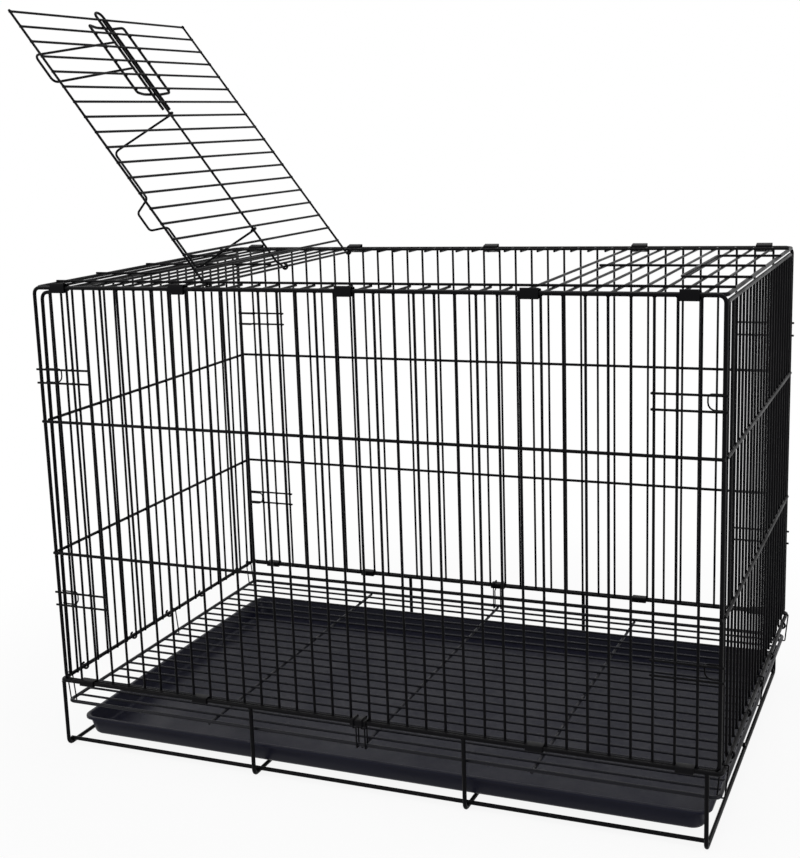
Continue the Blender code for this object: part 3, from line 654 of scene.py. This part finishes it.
# %% [markdown]
# ## The end panels
#
# An end panel folds inwards and down about the stand's end rail. Its posts and top are one bent rod, open at
# the bottom, and five of its uprights curl round the end rail as the hinge. The left panel leans in by half
# a degree, as the photograph shows, because its locks have play. Each panel is drawn upright round its hinge
# and then laid in place, so the curls stay round and their middle stays on the hinge.

# %% Sizes of the end panels
END_PLANE = STAND_WIRE / 2 + GAP + UPRIGHT / 2  # inwards of the hinge
END_TOP_DROP = 0.0085  # their top rails, below the walls' top rails
END_HEIGHT = TOP - BASE - END_TOP_DROP
LOCK_PLANE = RAIL / 2 + CLIP_SHEET + 2 * GAP + LOCK_WIRE / 2  # inwards of the front wall
END_POST_INSET = LOCK_PLANE + LOCK_WIRE / 2 + GAP + RAIL / 2
LEFT_LEAN = math.radians(0.5)
EYE_SHARES = (0.1, 0.3, 0.5, 0.7, 0.9)
EYE_TURN = 250.0
END_WELD = (0.0022, 0.0052, 0.0052)
END_BUTT = (0.0042, 0.0048, 0.0030)


# %% An end panel, drawn upright round its hinge
def end_panel(name, node, body, inwards, place):
    """inwards is 1 for the left panel and -1 for the right one."""
    plane = inwards * END_PLANE
    low, high = END_POST_INSET, DEPTH - END_POST_INSET
    foot = STAND_WIRE / 2 + 3 * GAP
    frame_path = [(plane, low, foot), (plane, low, END_HEIGHT),
                  (plane, high, END_HEIGHT), (plane, high, foot)]
    parts = [bent_wire(frame_path, RAIL, WALL_CORNER)]
    count = DEPTH_GAPS - 1
    upright = rod((plane, DEPTH_STEP, -UPRIGHT / 4), (plane, DEPTH_STEP, END_HEIGHT), UPRIGHT)
    parts.append(repeat(upright, count, ACROSS))
    parts.append(repeat(weld_bead((plane, DEPTH_STEP, END_HEIGHT - RAIL / 2), END_BUTT), count, ACROSS))
    rail_x, weld_x = inwards * (END_PLANE - CROSS_RAIL_OFFSET), inwards * (END_PLANE - UPRIGHT / 2)
    for height in CROSS_RAIL_HEIGHTS:
        ends = (low - CROSS_RAIL_PAST_POST, high + CROSS_RAIL_PAST_POST)
        parts.append(rod((rail_x, ends[0], height), (rail_x, ends[1], height), CROSS_RAIL))
        parts.append(repeat(weld_bead((weld_x, DEPTH_STEP, height), END_WELD), count, ACROSS))
        parts += [weld_bead((weld_x, y, height), END_WELD) for y in (low, high)]
    for share in EYE_SHARES:
        y = round(share * DEPTH_GAPS) * DEPTH_STEP
        curl = Curl((0.0, y, 0.0), (0.0, 1.0, 0.0), inwards * EYE_TURN)
        parts.append(bent_wire([(plane, y, 4 * UPRIGHT), (plane, y, 0.0), curl], EYE_WIRE))
    hand_over(lay(join(parts), place), name, WIRE_COAT, body, node)


left_hinge = Vector((left, CORNER.y, BASE))
right_hinge = Vector((right, CORNER.y, BASE))
left_place = Matrix.Translation(left_hinge) @ Matrix.Rotation(LEFT_LEAN, 4, "Y")
right_place = Matrix.Translation(right_hinge)
end_panel("wire_left_end", "left_end_panel", "left_end", 1, left_place)
end_panel("wire_right_end", "right_end_panel", "right_end", -1, right_place)

# %% [markdown]
# ## The locks
#
# Each post carries two locks, D-shaped loops of thin wire that reach inwards beside the wall and hook behind
# its guide wires. The loop's upper corner is tighter than its lower one, and both its legs end on the post.
# The four on the left reach a little further in than the four on the right.

# %% Locks
LOCK_REACHES = {"left": 0.025, "right": 0.0185}
LOCK_CORNERS = (0.0045, 0.0088)  # upper, lower
LOCK_FOOT = (0.0036, 0.0034, 0.0036)


def lock(side, inwards, face, y, height, level, place):
    """One lock, drawn upright round its end panel's hinge."""
    plane = inwards * END_PLANE
    tip = plane + inwards * LOCK_REACHES[side]
    high_z, low_z = height + GUIDE_SPACING, height
    path = [(plane, y, high_z), (tip, y, high_z), (tip, y, low_z), (plane, y, low_z)]
    parts = [bent_wire(path, LOCK_WIRE, LOCK_CORNERS, sides=THIN_WIRE_SIDES)]
    toward_post = RAIL / 4 if face == "front" else -RAIL / 4
    parts += [weld_bead((plane, y + toward_post, z), LOCK_FOOT) for z in (high_z, low_z)]
    name = "_".join((side, face, level, "lock"))
    hand_over(lay(join(parts), place), "wire_" + name, WIRE_COAT, side + "_end", name)


for side, inwards, place in (("left", 1, left_place), ("right", -1, right_place)):
    for face, y in (("front", LOCK_PLANE), ("back", DEPTH - LOCK_PLANE)):
        for level, height in zip(("lower", "upper"), GUIDE_HEIGHTS):
            lock(side, inwards, face, y, height, level, place)

# %% [markdown]
# ## The roof
#
# The roof is a frame of rail wire inside the walls' top rails, with wires across it a gap apart and a few
# long wires over them. It leaves a doorway between two cross wires: the one on the left is the door's hinge.
# Where the doorway is, the cross wires are short and end on the long wires at its sides. A bent loop
# stiffens each end.

# %% Sizes of the roof
ROOF_RAIL_INSET = 0.0058
DOORWAY_FIRST_GAP = 9
DOORWAY_LAST_GAP = LENGTH_GAPS - DOORWAY_FIRST_GAP
DOORWAY_SIDE_MARGIN = 0.0545
ROOF_LONG_WIRE = TOP + UPRIGHT - WELD
END_LOOP_GAPS = (3.5, 3.05)  # left, right
END_LOOP_SIDE_SHARE = 0.27  # of the depth
END_LOOP_SIDE = round(END_LOOP_SIDE_SHARE * DEPTH_GAPS) * DEPTH_STEP
END_LOOP_PAST_RAIL = 0.005
ROOF_WELD = (0.0050, 0.0050, 0.0020)
ROOF_BUTT = (0.0046, 0.0030, 0.0042)


# %% Rows of cross wires and of weld beads
def roof_wires(first, count, start_y, end_y):
    """A row of cross wires from one side to the other, from the given gap on."""
    x = first * LENGTH_STEP
    return repeat(rod(at(x, start_y, TOP), at(x, end_y, TOP), UPRIGHT), count, ALONG)


def roof_beads(first, count, y):
    """A row of weld beads between the cross wires and a long wire over them."""
    bead = weld_bead(at(first * LENGTH_STEP, y, TOP + UPRIGHT / 2), ROOF_WELD)
    return repeat(bead, count, ALONG)


# %% The roof's rails and cross wires
roof_low, roof_high = ROOF_RAIL_INSET, DEPTH - ROOF_RAIL_INSET
short_wires = DOORWAY_LAST_GAP - DOORWAY_FIRST_GAP - 1
short_end = DOORWAY_SIDE_MARGIN + UPRIGHT / 2
roof_corners = [at(0, roof_low, TOP), at(LENGTH, roof_low, TOP),
                at(LENGTH, roof_high, TOP), at(0, roof_high, TOP)]
roof_parts = [
    bent_wire(roof_corners, RAIL, WALL_CORNER, closed=True),
    roof_wires(1, DOORWAY_FIRST_GAP, roof_low, roof_high),
    roof_wires(DOORWAY_LAST_GAP, LENGTH_GAPS - DOORWAY_LAST_GAP, roof_low, roof_high),
    roof_wires(DOORWAY_FIRST_GAP + 1, short_wires, roof_low, short_end),
    roof_wires(DOORWAY_FIRST_GAP + 1, short_wires, DEPTH - short_end, roof_high),
]
for y in (roof_low + RAIL / 2, roof_high - RAIL / 2):
    butt = weld_bead(at(LENGTH_STEP, y, TOP), ROOF_BUTT)
    roof_parts.append(repeat(butt, LENGTH_GAPS - 1, ALONG))

# %% The roof's long wires
past = CROSS_RAIL_PAST_POST
hinge_side = (DOORWAY_FIRST_GAP - 1) * LENGTH_STEP + UPRIGHT
far_side = (DOORWAY_LAST_GAP + 1) * LENGTH_STEP - UPRIGHT
for y in (DOORWAY_SIDE_MARGIN, DEPTH - DOORWAY_SIDE_MARGIN):
    roof_parts.append(rod(at(-past, y, ROOF_LONG_WIRE), at(LENGTH + past, y, ROOF_LONG_WIRE), UPRIGHT))
    roof_parts.append(roof_beads(0, LENGTH_GAPS + 1, y))
for start, end, first in ((-past, hinge_side, 0), (far_side, LENGTH + past, DOORWAY_LAST_GAP + 1)):
    roof_parts.append(rod(at(start, DEPTH / 2, ROOF_LONG_WIRE), at(end, DEPTH / 2, ROOF_LONG_WIRE), UPRIGHT))
    roof_parts.append(roof_beads(first, DOORWAY_FIRST_GAP, DEPTH / 2))

# %% The roof's end loops
# outer end, inner end, the first wire under the loop and how many it is welded to
END_LOOPS = (
    (-END_LOOP_PAST_RAIL, END_LOOP_GAPS[0] * LENGTH_STEP, 0, 4),
    (LENGTH + END_LOOP_PAST_RAIL, LENGTH - END_LOOP_GAPS[1] * LENGTH_STEP, LENGTH_GAPS - 2, 3),
)
loop_sides = (END_LOOP_SIDE, DEPTH - END_LOOP_SIDE)
for outer, inner, first, crossed in END_LOOPS:
    loop = [at(outer, loop_sides[0], ROOF_LONG_WIRE), at(inner, loop_sides[0], ROOF_LONG_WIRE),
            at(inner, loop_sides[1], ROOF_LONG_WIRE), at(outer, loop_sides[1], ROOF_LONG_WIRE)]
    roof_parts.append(bent_wire(loop, UPRIGHT, WALL_CORNER))
    roof_parts += [roof_beads(first, crossed, y) for y in loop_sides]
hand_over(join(roof_parts), "wire_roof", WIRE_COAT, "cage", "roof_panel")

# %% [markdown]
# ## The clips
#
# The roof and the stand are held to the walls by sleeves of folded sheet, closed round the two rails that
# lie side by side. A sleeve starts as a box without its ends. The top ones are taller outside than inside,
# so the box's inner face is made lower. Its long edges are bevelled, a strip is cut out of its inner face
# where the sheet's edges meet, and Solidify gives it the sheet's thickness inwards. Each copy stands for
# one clip of the model.

# %% Selecting faces and edges in edit mode
def pick_faces(piece, keep):
    """In edit mode, selects the faces that keep says yes to."""
    bpy.ops.mesh.select_mode(type="FACE")
    bpy.ops.mesh.select_all(action="DESELECT")
    bpy.ops.object.mode_set(mode="OBJECT")
    for face in piece.data.polygons:
        face.select = keep(face)
    bpy.ops.object.mode_set(mode="EDIT")


def pick_edges(piece, keep):
    """In edit mode, selects the edges that keep says yes to, given their two ends."""
    bpy.ops.mesh.select_mode(type="EDGE")
    bpy.ops.mesh.select_all(action="DESELECT")
    bpy.ops.object.mode_set(mode="OBJECT")
    for edge in piece.data.edges:
        edge.select = keep(*(piece.data.vertices[index].co for index in edge.vertices))
    bpy.ops.object.mode_set(mode="EDIT")


# %% A folded sleeve
CLIP_BEND = 0.0016
CLIP_INNER_HEIGHT = 0.0085
SEAM_HALF_WIDTH = 0.0004
SQUARELY = 0.9  # a face's normal along an axis, for a face that looks along it


def sleeve(low, high, inwards):
    """A sleeve along x in the given box, its seam on the inner side."""
    middle = (low + high) / 2

    def is_inner(face):
        return face.normal.y * inwards > SQUARELY

    bpy.ops.mesh.primitive_cube_add(size=1.0, location=middle, scale=high - low)
    piece = apply_place(bpy.context.object)
    bpy.ops.object.mode_set(mode="EDIT")
    pick_faces(piece, is_inner)
    bpy.ops.transform.resize(value=(1.0, 1.0, CLIP_INNER_HEIGHT / (high - low).z), center_override=middle)
    pick_faces(piece, lambda face: abs(face.normal.x) > SQUARELY)
    bpy.ops.mesh.delete(type="ONLY_FACE")
    pick_edges(piece, lambda start, end: abs((start - end).x) > CLIP_BEND)
    bpy.ops.mesh.bevel(offset=CLIP_BEND, segments=3, affect="EDGES")
    for offset in (-SEAM_HALF_WIDTH, SEAM_HALF_WIDTH):
        bpy.ops.mesh.select_all(action="SELECT")
        bpy.ops.mesh.bisect(plane_co=(middle.x, middle.y, middle.z + offset), plane_no=(0.0, 0.0, 1.0))
    pick_faces(piece, lambda face: is_inner(face) and abs(face.center.z - middle.z) < SEAM_HALF_WIDTH)
    bpy.ops.mesh.delete(type="FACE")
    bpy.ops.object.mode_set(mode="OBJECT")
    sheet = piece.modifiers.new("sheet", "SOLIDIFY")
    sheet.thickness = CLIP_SHEET - GAP / 2
    sheet.offset = -1.0
    only(piece)
    bpy.ops.object.modifier_apply(modifier=sheet.name)
    return piece


# %% The clips
for face, inwards in (("front", 1), ("back", -1)):
    for level in ("top", "bottom"):
        stem = f"{face}_{level}_clip_"
        first_low, first_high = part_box(stem + "1")
        first = sleeve(first_low, first_high, inwards)
        clips = [first]
        for number in range(2, 6):
            clips.append(copy_to(first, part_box(stem + str(number))[0] - first_low))
        for number, clip in enumerate(clips, start=1):
            hand_over(clip, f"sheet_{stem}{number}", SHEET_COAT, "cage", f"{stem}{number}")

# %% [markdown]
# ## The floor grate
#
# The floor is a flat grate of the same wire, with its wires running along the cage on three bars, a few
# centimetres above the tray. It hangs from the stand by small wire links at the ends and from the middle
# clips at the front and back.

# %% The grate
grate_low, grate_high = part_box("floor_grate")
GRATE = grate_high.z - RAIL / 2
GRATE_CORNER = 0.008
GRATE_BARS = (0.25, 0.5, 0.75)
GRATE_WELD = (0.0052, 0.0052, 0.0022)
GRATE_BUTT = (0.0030, 0.0046, 0.0042)
grate_front, grate_back = grate_low.y + RAIL / 2, grate_high.y - RAIL / 2
grate_left, grate_right = CORNER.x, CORNER.x + LENGTH
wires = DEPTH_GAPS - 1
first_y = CORNER.y + DEPTH_STEP
grate_corners = [(grate_left, grate_front, GRATE), (grate_right, grate_front, GRATE),
                 (grate_right, grate_back, GRATE), (grate_left, grate_back, GRATE)]
grate_parts = [bent_wire(grate_corners, RAIL, GRATE_CORNER, closed=True)]
first_wire = rod((grate_left, first_y, GRATE), (grate_right, first_y, GRATE), UPRIGHT)
grate_parts.append(repeat(first_wire, wires, ACROSS))
for x in (grate_left + RAIL / 2, grate_right - RAIL / 2):
    grate_parts.append(repeat(weld_bead((x, first_y, GRATE), GRATE_BUTT), wires, ACROSS))
for share in GRATE_BARS:
    x, z = CORNER.x + share * LENGTH, GRATE - CROSS_RAIL_OFFSET
    grate_parts.append(rod((x, grate_front, z), (x, grate_back, z), CROSS_RAIL))
    grate_parts.append(repeat(weld_bead((x, first_y, GRATE - UPRIGHT / 2), GRATE_WELD), wires, ACROSS))
hand_over(join(grate_parts), "wire_floor_grate", GRATE_COAT, "cage", "floor_grate")

# %% The links that carry the grate
HANGER_BEND = 0.0015


def hang(link, node):
    """A closed link of thin wire along its middle line, for the node of that name."""
    piece = bent_wire(link, HANGER_WIRE, HANGER_BEND, closed=True, sides=THIN_WIRE_SIDES)
    hand_over(piece, "wire_" + node, WIRE_COAT, "cage", node)


for side, rail_x, grate_x in (("left", left, grate_left), ("right", right, grate_right)):
    for number in (1, 2, 3):
        node = f"{side}_end_hanger_{number}"
        link_low, link_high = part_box(node)
        y = (link_low.y + link_high.y) / 2
        half = (link_high.x - link_low.x - HANGER_WIRE - abs(rail_x - grate_x)) / 2
        high_z, low_z = link_high.z - HANGER_WIRE / 2, link_low.z + HANGER_WIRE / 2
        link = [(rail_x + half, y, high_z), (rail_x - half, y, high_z),
                (grate_x - half, y, low_z), (grate_x + half, y, low_z)]
        hang(link, node)

# %% [markdown]
# The links in the middle go round a bottom clip and the grate's side rail, so each is wide above and narrow
# below.

# %% The middle links
hold = (RAIL + HANGER_WIRE) / 2 + GAP
for face, rail, inwards in (("front", grate_front, 1), ("back", grate_back, -1)):
    clip_low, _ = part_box(f"{face}_bottom_clip_3")
    for side in ("left", "right"):
        node = f"{face}_hanger_{side}"
        link_low, link_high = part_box(node)
        x = (link_low.x + link_high.x) / 2
        ys = (link_low.y + HANGER_WIRE / 2, link_high.y - HANGER_WIRE / 2)
        inner, outer = (ys[1], ys[0]) if inwards > 0 else ys
        under, over = clip_low.z - GAP - HANGER_WIRE / 2, link_high.z - HANGER_WIRE / 2
        low_z = link_low.z + HANGER_WIRE / 2
        link = [(x, inner, under), (x, inner, over), (x, outer, over), (x, outer, under),
                (x, rail - inwards * hold, under - hold), (x, rail - inwards * hold, low_z),
                (x, rail + inwards * hold, low_z), (x, rail + inwards * hold, under - hold)]
        hang(link, node)

# %% [markdown]
# ## The tray
#
# The tray is a shallow pan of moulded plastic that slides out over the runners. It starts as a flat sheet at
# the rim with rounded corners. An inset makes the flat lip, the middle is pushed down and narrowed for the
# sloping walls, and its edges are bevelled. The lip's outer edge is turned down, and Solidify thickens the
# sheet.

# %% Sizes of the tray
tray_low, tray_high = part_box("tray")
TRAY_CORNER = 0.020
TRAY_LIP = 0.006
TRAY_SLOPE = 0.006
TRAY_SHEET = 0.0016
TRAY_TURNED_EDGE = 0.0032
TRAY_FOOT_BEND = 0.004
TRAY_RIM_BEND = 0.0011


# %% The pan
tray_middle = (tray_low + tray_high) / 2
rim_z = tray_high.z
tray_floor_z = tray_low.z + TRAY_SHEET
half_x = (tray_high.x - tray_low.x) / 2 - TRAY_SHEET
half_y = (tray_high.y - tray_low.y) / 2 - TRAY_SHEET
rim_middle = (tray_middle.x, tray_middle.y, rim_z)
bpy.ops.mesh.primitive_plane_add(size=2.0, location=rim_middle)
tray = apply_place(bpy.context.object)
bpy.ops.object.mode_set(mode="EDIT")
bpy.ops.mesh.select_mode(type="VERT")
bpy.ops.mesh.select_all(action="SELECT")
bpy.ops.transform.resize(value=(half_x, half_y, 1.0), center_override=rim_middle)
bpy.ops.mesh.bevel(offset=TRAY_CORNER, segments=8, affect="VERTICES")
pick_faces(tray, lambda face: True)
bpy.ops.mesh.inset(thickness=TRAY_LIP)
bpy.ops.mesh.extrude_region_move(TRANSFORM_OT_translate={"value": (0.0, 0.0, tray_floor_z - rim_z)})
narrower = [1.0 - TRAY_SLOPE / (half - TRAY_LIP) for half in (half_x, half_y)]
foot_middle = (tray_middle.x, tray_middle.y, tray_floor_z)
bpy.ops.transform.resize(value=(*narrower, 1.0), center_override=foot_middle)
bpy.ops.mesh.bevel(offset=TRAY_FOOT_BEND, segments=3, affect="EDGES")


# %% The lip's turned edge
def on_rim(first, second):
    return min(first.z, second.z) > rim_z - SAME_PLACE


pick_edges(tray, lambda first, second: False)
bpy.ops.mesh.select_non_manifold(extend=False, use_wire=False, use_boundary=True, use_multi_face=False,
                                 use_non_contiguous=False, use_verts=False)
bpy.ops.mesh.extrude_region_move(TRANSFORM_OT_translate={"value": (0.0, 0.0, -TRAY_TURNED_EDGE)})
pick_edges(tray, on_rim)
bpy.ops.mesh.bevel(offset=TRAY_RIM_BEND, segments=2, affect="EDGES")
bpy.ops.mesh.select_all(action="SELECT")
bpy.ops.mesh.normals_make_consistent(inside=False)
bpy.ops.object.mode_set(mode="OBJECT")

# %% The sheet's upper side and its thickness
facing_up = sum(face.area * face.normal.z for face in tray.data.polygons)
if facing_up < 0:
    bpy.ops.object.mode_set(mode="EDIT")
    bpy.ops.mesh.select_all(action="SELECT")
    bpy.ops.mesh.flip_normals()
    bpy.ops.object.mode_set(mode="OBJECT")
sheet = tray.modifiers.new("sheet", "SOLIDIFY")
sheet.thickness = TRAY_SHEET
sheet.offset = -1.0
only(tray)
bpy.ops.object.modifier_apply(modifier=sheet.name)
hand_over(tray, "moulded_tray", TRAY_PLASTIC, "tray", "tray")

# %% [markdown]
# ## The top door
#
# The door stands wide open in the photograph. It is drawn shut and flat, with x along it from the hinge and
# z out of its face, and then turned back about the roof's hinge wire. Its side wires and centre wire curl
# round that wire, and its cross wires are welded between them.

# %% Sizes of the door
DOOR_OPEN = math.radians(127.0)
DOOR_LENGTH = 0.4585
DOOR_CROSS_WIRES = 18
DOOR_RISE = UPRIGHT + GAP
DOOR_SIDE_SLOT = 0.0005
DOOR_SIDE = DOORWAY_SIDE_MARGIN + UPRIGHT + DOOR_SIDE_SLOT
SIDE_WIRE_PAST_EDGE = 0.003
SIDE_WIRE_END = DOOR_LENGTH + SIDE_WIRE_PAST_EDGE
CENTRE_WIRE_RISE = DOOR_RISE + UPRIGHT - WELD
CENTRE = DEPTH / 2
door_place = (
    Matrix.Translation(at(DOORWAY_FIRST_GAP * LENGTH_STEP, 0.0, TOP)) @ Matrix.Rotation(-DOOR_OPEN, 4, "Y")
)


def door_curl(y):
    """The curl round the hinge wire that ends one of the door's long wires."""
    return Curl((0.0, y, 0.0), (0.0, 1.0, 0.0), -EYE_TURN)


# %% The door
door_sides = (DOOR_SIDE, DEPTH - DOOR_SIDE)
door_step = DOOR_LENGTH / DOOR_CROSS_WIRES
up_the_door = (door_step, 0.0, 0.0)
door_parts = []
for y in door_sides:
    side_wire = [(SIDE_WIRE_END, y, DOOR_RISE), (0.0, y, DOOR_RISE), door_curl(y)]
    door_parts.append(bent_wire(side_wire, UPRIGHT))
    side_bead = weld_bead((door_step, y, DOOR_RISE), CROSS_WELD)
    door_parts.append(repeat(side_bead, DOOR_CROSS_WIRES, up_the_door))
centre_wire = [
    (SIDE_WIRE_END, CENTRE, CENTRE_WIRE_RISE), (4 * UPRIGHT, CENTRE, CENTRE_WIRE_RISE),
    (2 * UPRIGHT, CENTRE, DOOR_RISE), (0.0, CENTRE, DOOR_RISE), door_curl(CENTRE),
]
door_parts.append(bent_wire(centre_wire, UPRIGHT, UPRIGHT / 2))
cross = rod((door_step, door_sides[0], DOOR_RISE), (door_step, door_sides[1], DOOR_RISE), UPRIGHT)
door_parts.append(repeat(cross, DOOR_CROSS_WIRES, up_the_door))
centre_bead = weld_bead((door_step, CENTRE, DOOR_RISE + UPRIGHT / 2), ROOF_WELD)
door_parts.append(repeat(centre_bead, DOOR_CROSS_WIRES, up_the_door))
hand_over(lay(join(door_parts), door_place), "wire_top_door", WIRE_COAT, "door", "top_door")

# %% [markdown]
# ## The bolt and its guard
#
# The bolt is a long U of wire whose rounded end reaches past the door's edge, over the roof when the door is
# shut. A thinner loop is welded to it as the pull. The guard is one closed wire welded to the door, and its
# ends rise over the bolt's legs as bridges.

# %% The guard
BOLT_RISE = DOOR_RISE + UPRIGHT / 2 + GAP + BOLT_WIRE / 2
GUARD_ENDS = (0.326, 0.450)
GUARD_HALF_WIDTH = 0.0455
GUARD_BRIDGE_HALF_WIDTH = 0.022
GUARD_BRIDGE_RISE = BOLT_RISE + BOLT_WIRE + GAP
GUARD_BEND = 0.004
start, end = GUARD_ENDS
wide, narrow = GUARD_HALF_WIDTH, GUARD_BRIDGE_HALF_WIDTH
guard_path = [(start, CENTRE - wide, BOLT_RISE), (end, CENTRE - wide, BOLT_RISE)]
guard_path += [(end, CENTRE - narrow, GUARD_BRIDGE_RISE), (end, CENTRE + narrow, GUARD_BRIDGE_RISE)]
guard_path += [(end, CENTRE + wide, BOLT_RISE), (start, CENTRE + wide, BOLT_RISE)]
guard_path += [(start, CENTRE + narrow, GUARD_BRIDGE_RISE), (start, CENTRE - narrow, GUARD_BRIDGE_RISE)]
guard_parts = [bent_wire(guard_path, BOLT_WIRE, GUARD_BEND, closed=True)]
first_crossed = math.ceil(start / door_step)
crossed = math.floor(end / door_step) - first_crossed + 1
for y in (CENTRE - wide, CENTRE + wide):
    bead = weld_bead((first_crossed * door_step, y, DOOR_RISE + UPRIGHT / 2), ROOF_WELD)
    guard_parts.append(repeat(bead, crossed, up_the_door))
hand_over(lay(join(guard_parts), door_place), "wire_bolt_guard", WIRE_COAT, "door", "bolt_guard")

# %% The bolt and its pull
BOLT_TAIL = 0.294
BOLT_TIP = 0.476
BOLT_LEGS = (-0.008, 0.010)
PULL_PLACES = (0.372, 0.420)
PULL_REACH = 0.160
PULL_RISE = 0.036
PULL_CORNER = 0.008
PULL_WIRE = BOLT_WIRE - WELD
PULL_WELD = (0.0062, 0.0062, 0.0040)
near_leg, far_leg = (CENTRE + place for place in BOLT_LEGS)
bolt_bend = (far_leg - near_leg) / 2 - GAP
bolt_path = [(BOLT_TAIL, near_leg, BOLT_RISE), (BOLT_TIP, near_leg, BOLT_RISE),
             (BOLT_TIP, far_leg, BOLT_RISE), (BOLT_TAIL, far_leg, BOLT_RISE)]
bolt_parts = [bent_wire(bolt_path, BOLT_WIRE, bolt_bend)]
start, end = PULL_PLACES
pull_y, pull_rise = near_leg - PULL_REACH, BOLT_RISE + PULL_RISE
pull_path = [(start, near_leg, BOLT_RISE), (start, pull_y, pull_rise), (end, pull_y, pull_rise),
             (end, near_leg, BOLT_RISE)]
bolt_parts.append(bent_wire(pull_path, PULL_WIRE, PULL_CORNER))
bolt_parts += [weld_bead((place, near_leg, BOLT_RISE), PULL_WELD) for place in PULL_PLACES]
hand_over(lay(join(bolt_parts), door_place), "wire_door_bolt", WIRE_COAT, "bolt", "door_bolt")

# %% [markdown]
# ## The carrying handle
#
# The handle swings on the door's centre wire. It is one bent wire with a curl at each end and a hump for
# the fingers in the middle. It is drawn standing straight out of the door, swung to where it rests, and
# then turned back with the door.

# %% The handle
HANDLE_EYES = (0.072, 0.285)
HANDLE_REACH = 0.100
HANDLE_CORNER = 0.007
HANDLE_REST = math.radians(31.8)  # from straight out to where it leans on the roof's wires
HUMP = ((0.148, 0.0), (0.158, 0.024), (0.190, 0.024), (0.200, 0.0))
HUMP_BEND = 0.004
handle_side = UPRIGHT / 2 + GAP + HANDLE_WIRE / 2
low_eye, high_eye = HANDLE_EYES
curl_start = math.radians(-EYE_TURN)
handle_path = [
    (low_eye, handle_side * math.cos(curl_start), handle_side * math.sin(curl_start)),
    Curl((low_eye, 0.0, 0.0), (1.0, 0.0, 0.0), EYE_TURN),
    (low_eye, handle_side, HANDLE_REACH),
]
handle_path += [(place, handle_side, HANDLE_REACH + rise) for place, rise in HUMP]
handle_path += [
    (high_eye, handle_side, HANDLE_REACH),
    (high_eye, handle_side, 0.0),
    Curl((high_eye, 0.0, 0.0), (1.0, 0.0, 0.0), -EYE_TURN),
]
handle_bends = [HANDLE_CORNER] + [HUMP_BEND] * len(HUMP) + [HANDLE_CORNER]
handle_place = (
    door_place @ Matrix.Translation((0.0, CENTRE, CENTRE_WIRE_RISE)) @ Matrix.Rotation(HANDLE_REST, 4, "X")
)
handle = lay(bent_wire(handle_path, HANDLE_WIRE, handle_bends), handle_place)
hand_over(handle, "wire_carry_handle", WIRE_COAT, "handle", "carry_handle")

# %% [markdown]
# ## The pieces, counted
#
# The pieces stand for the imported model's, so the object's box should hardly change. The script counts the
# pieces and their faces.

# %% Count the pieces and finish
bpy.context.view_layer.update()
print("pieces:", len(all_pieces), "faces:", sum(len(piece.data.polygons) for piece in all_pieces))
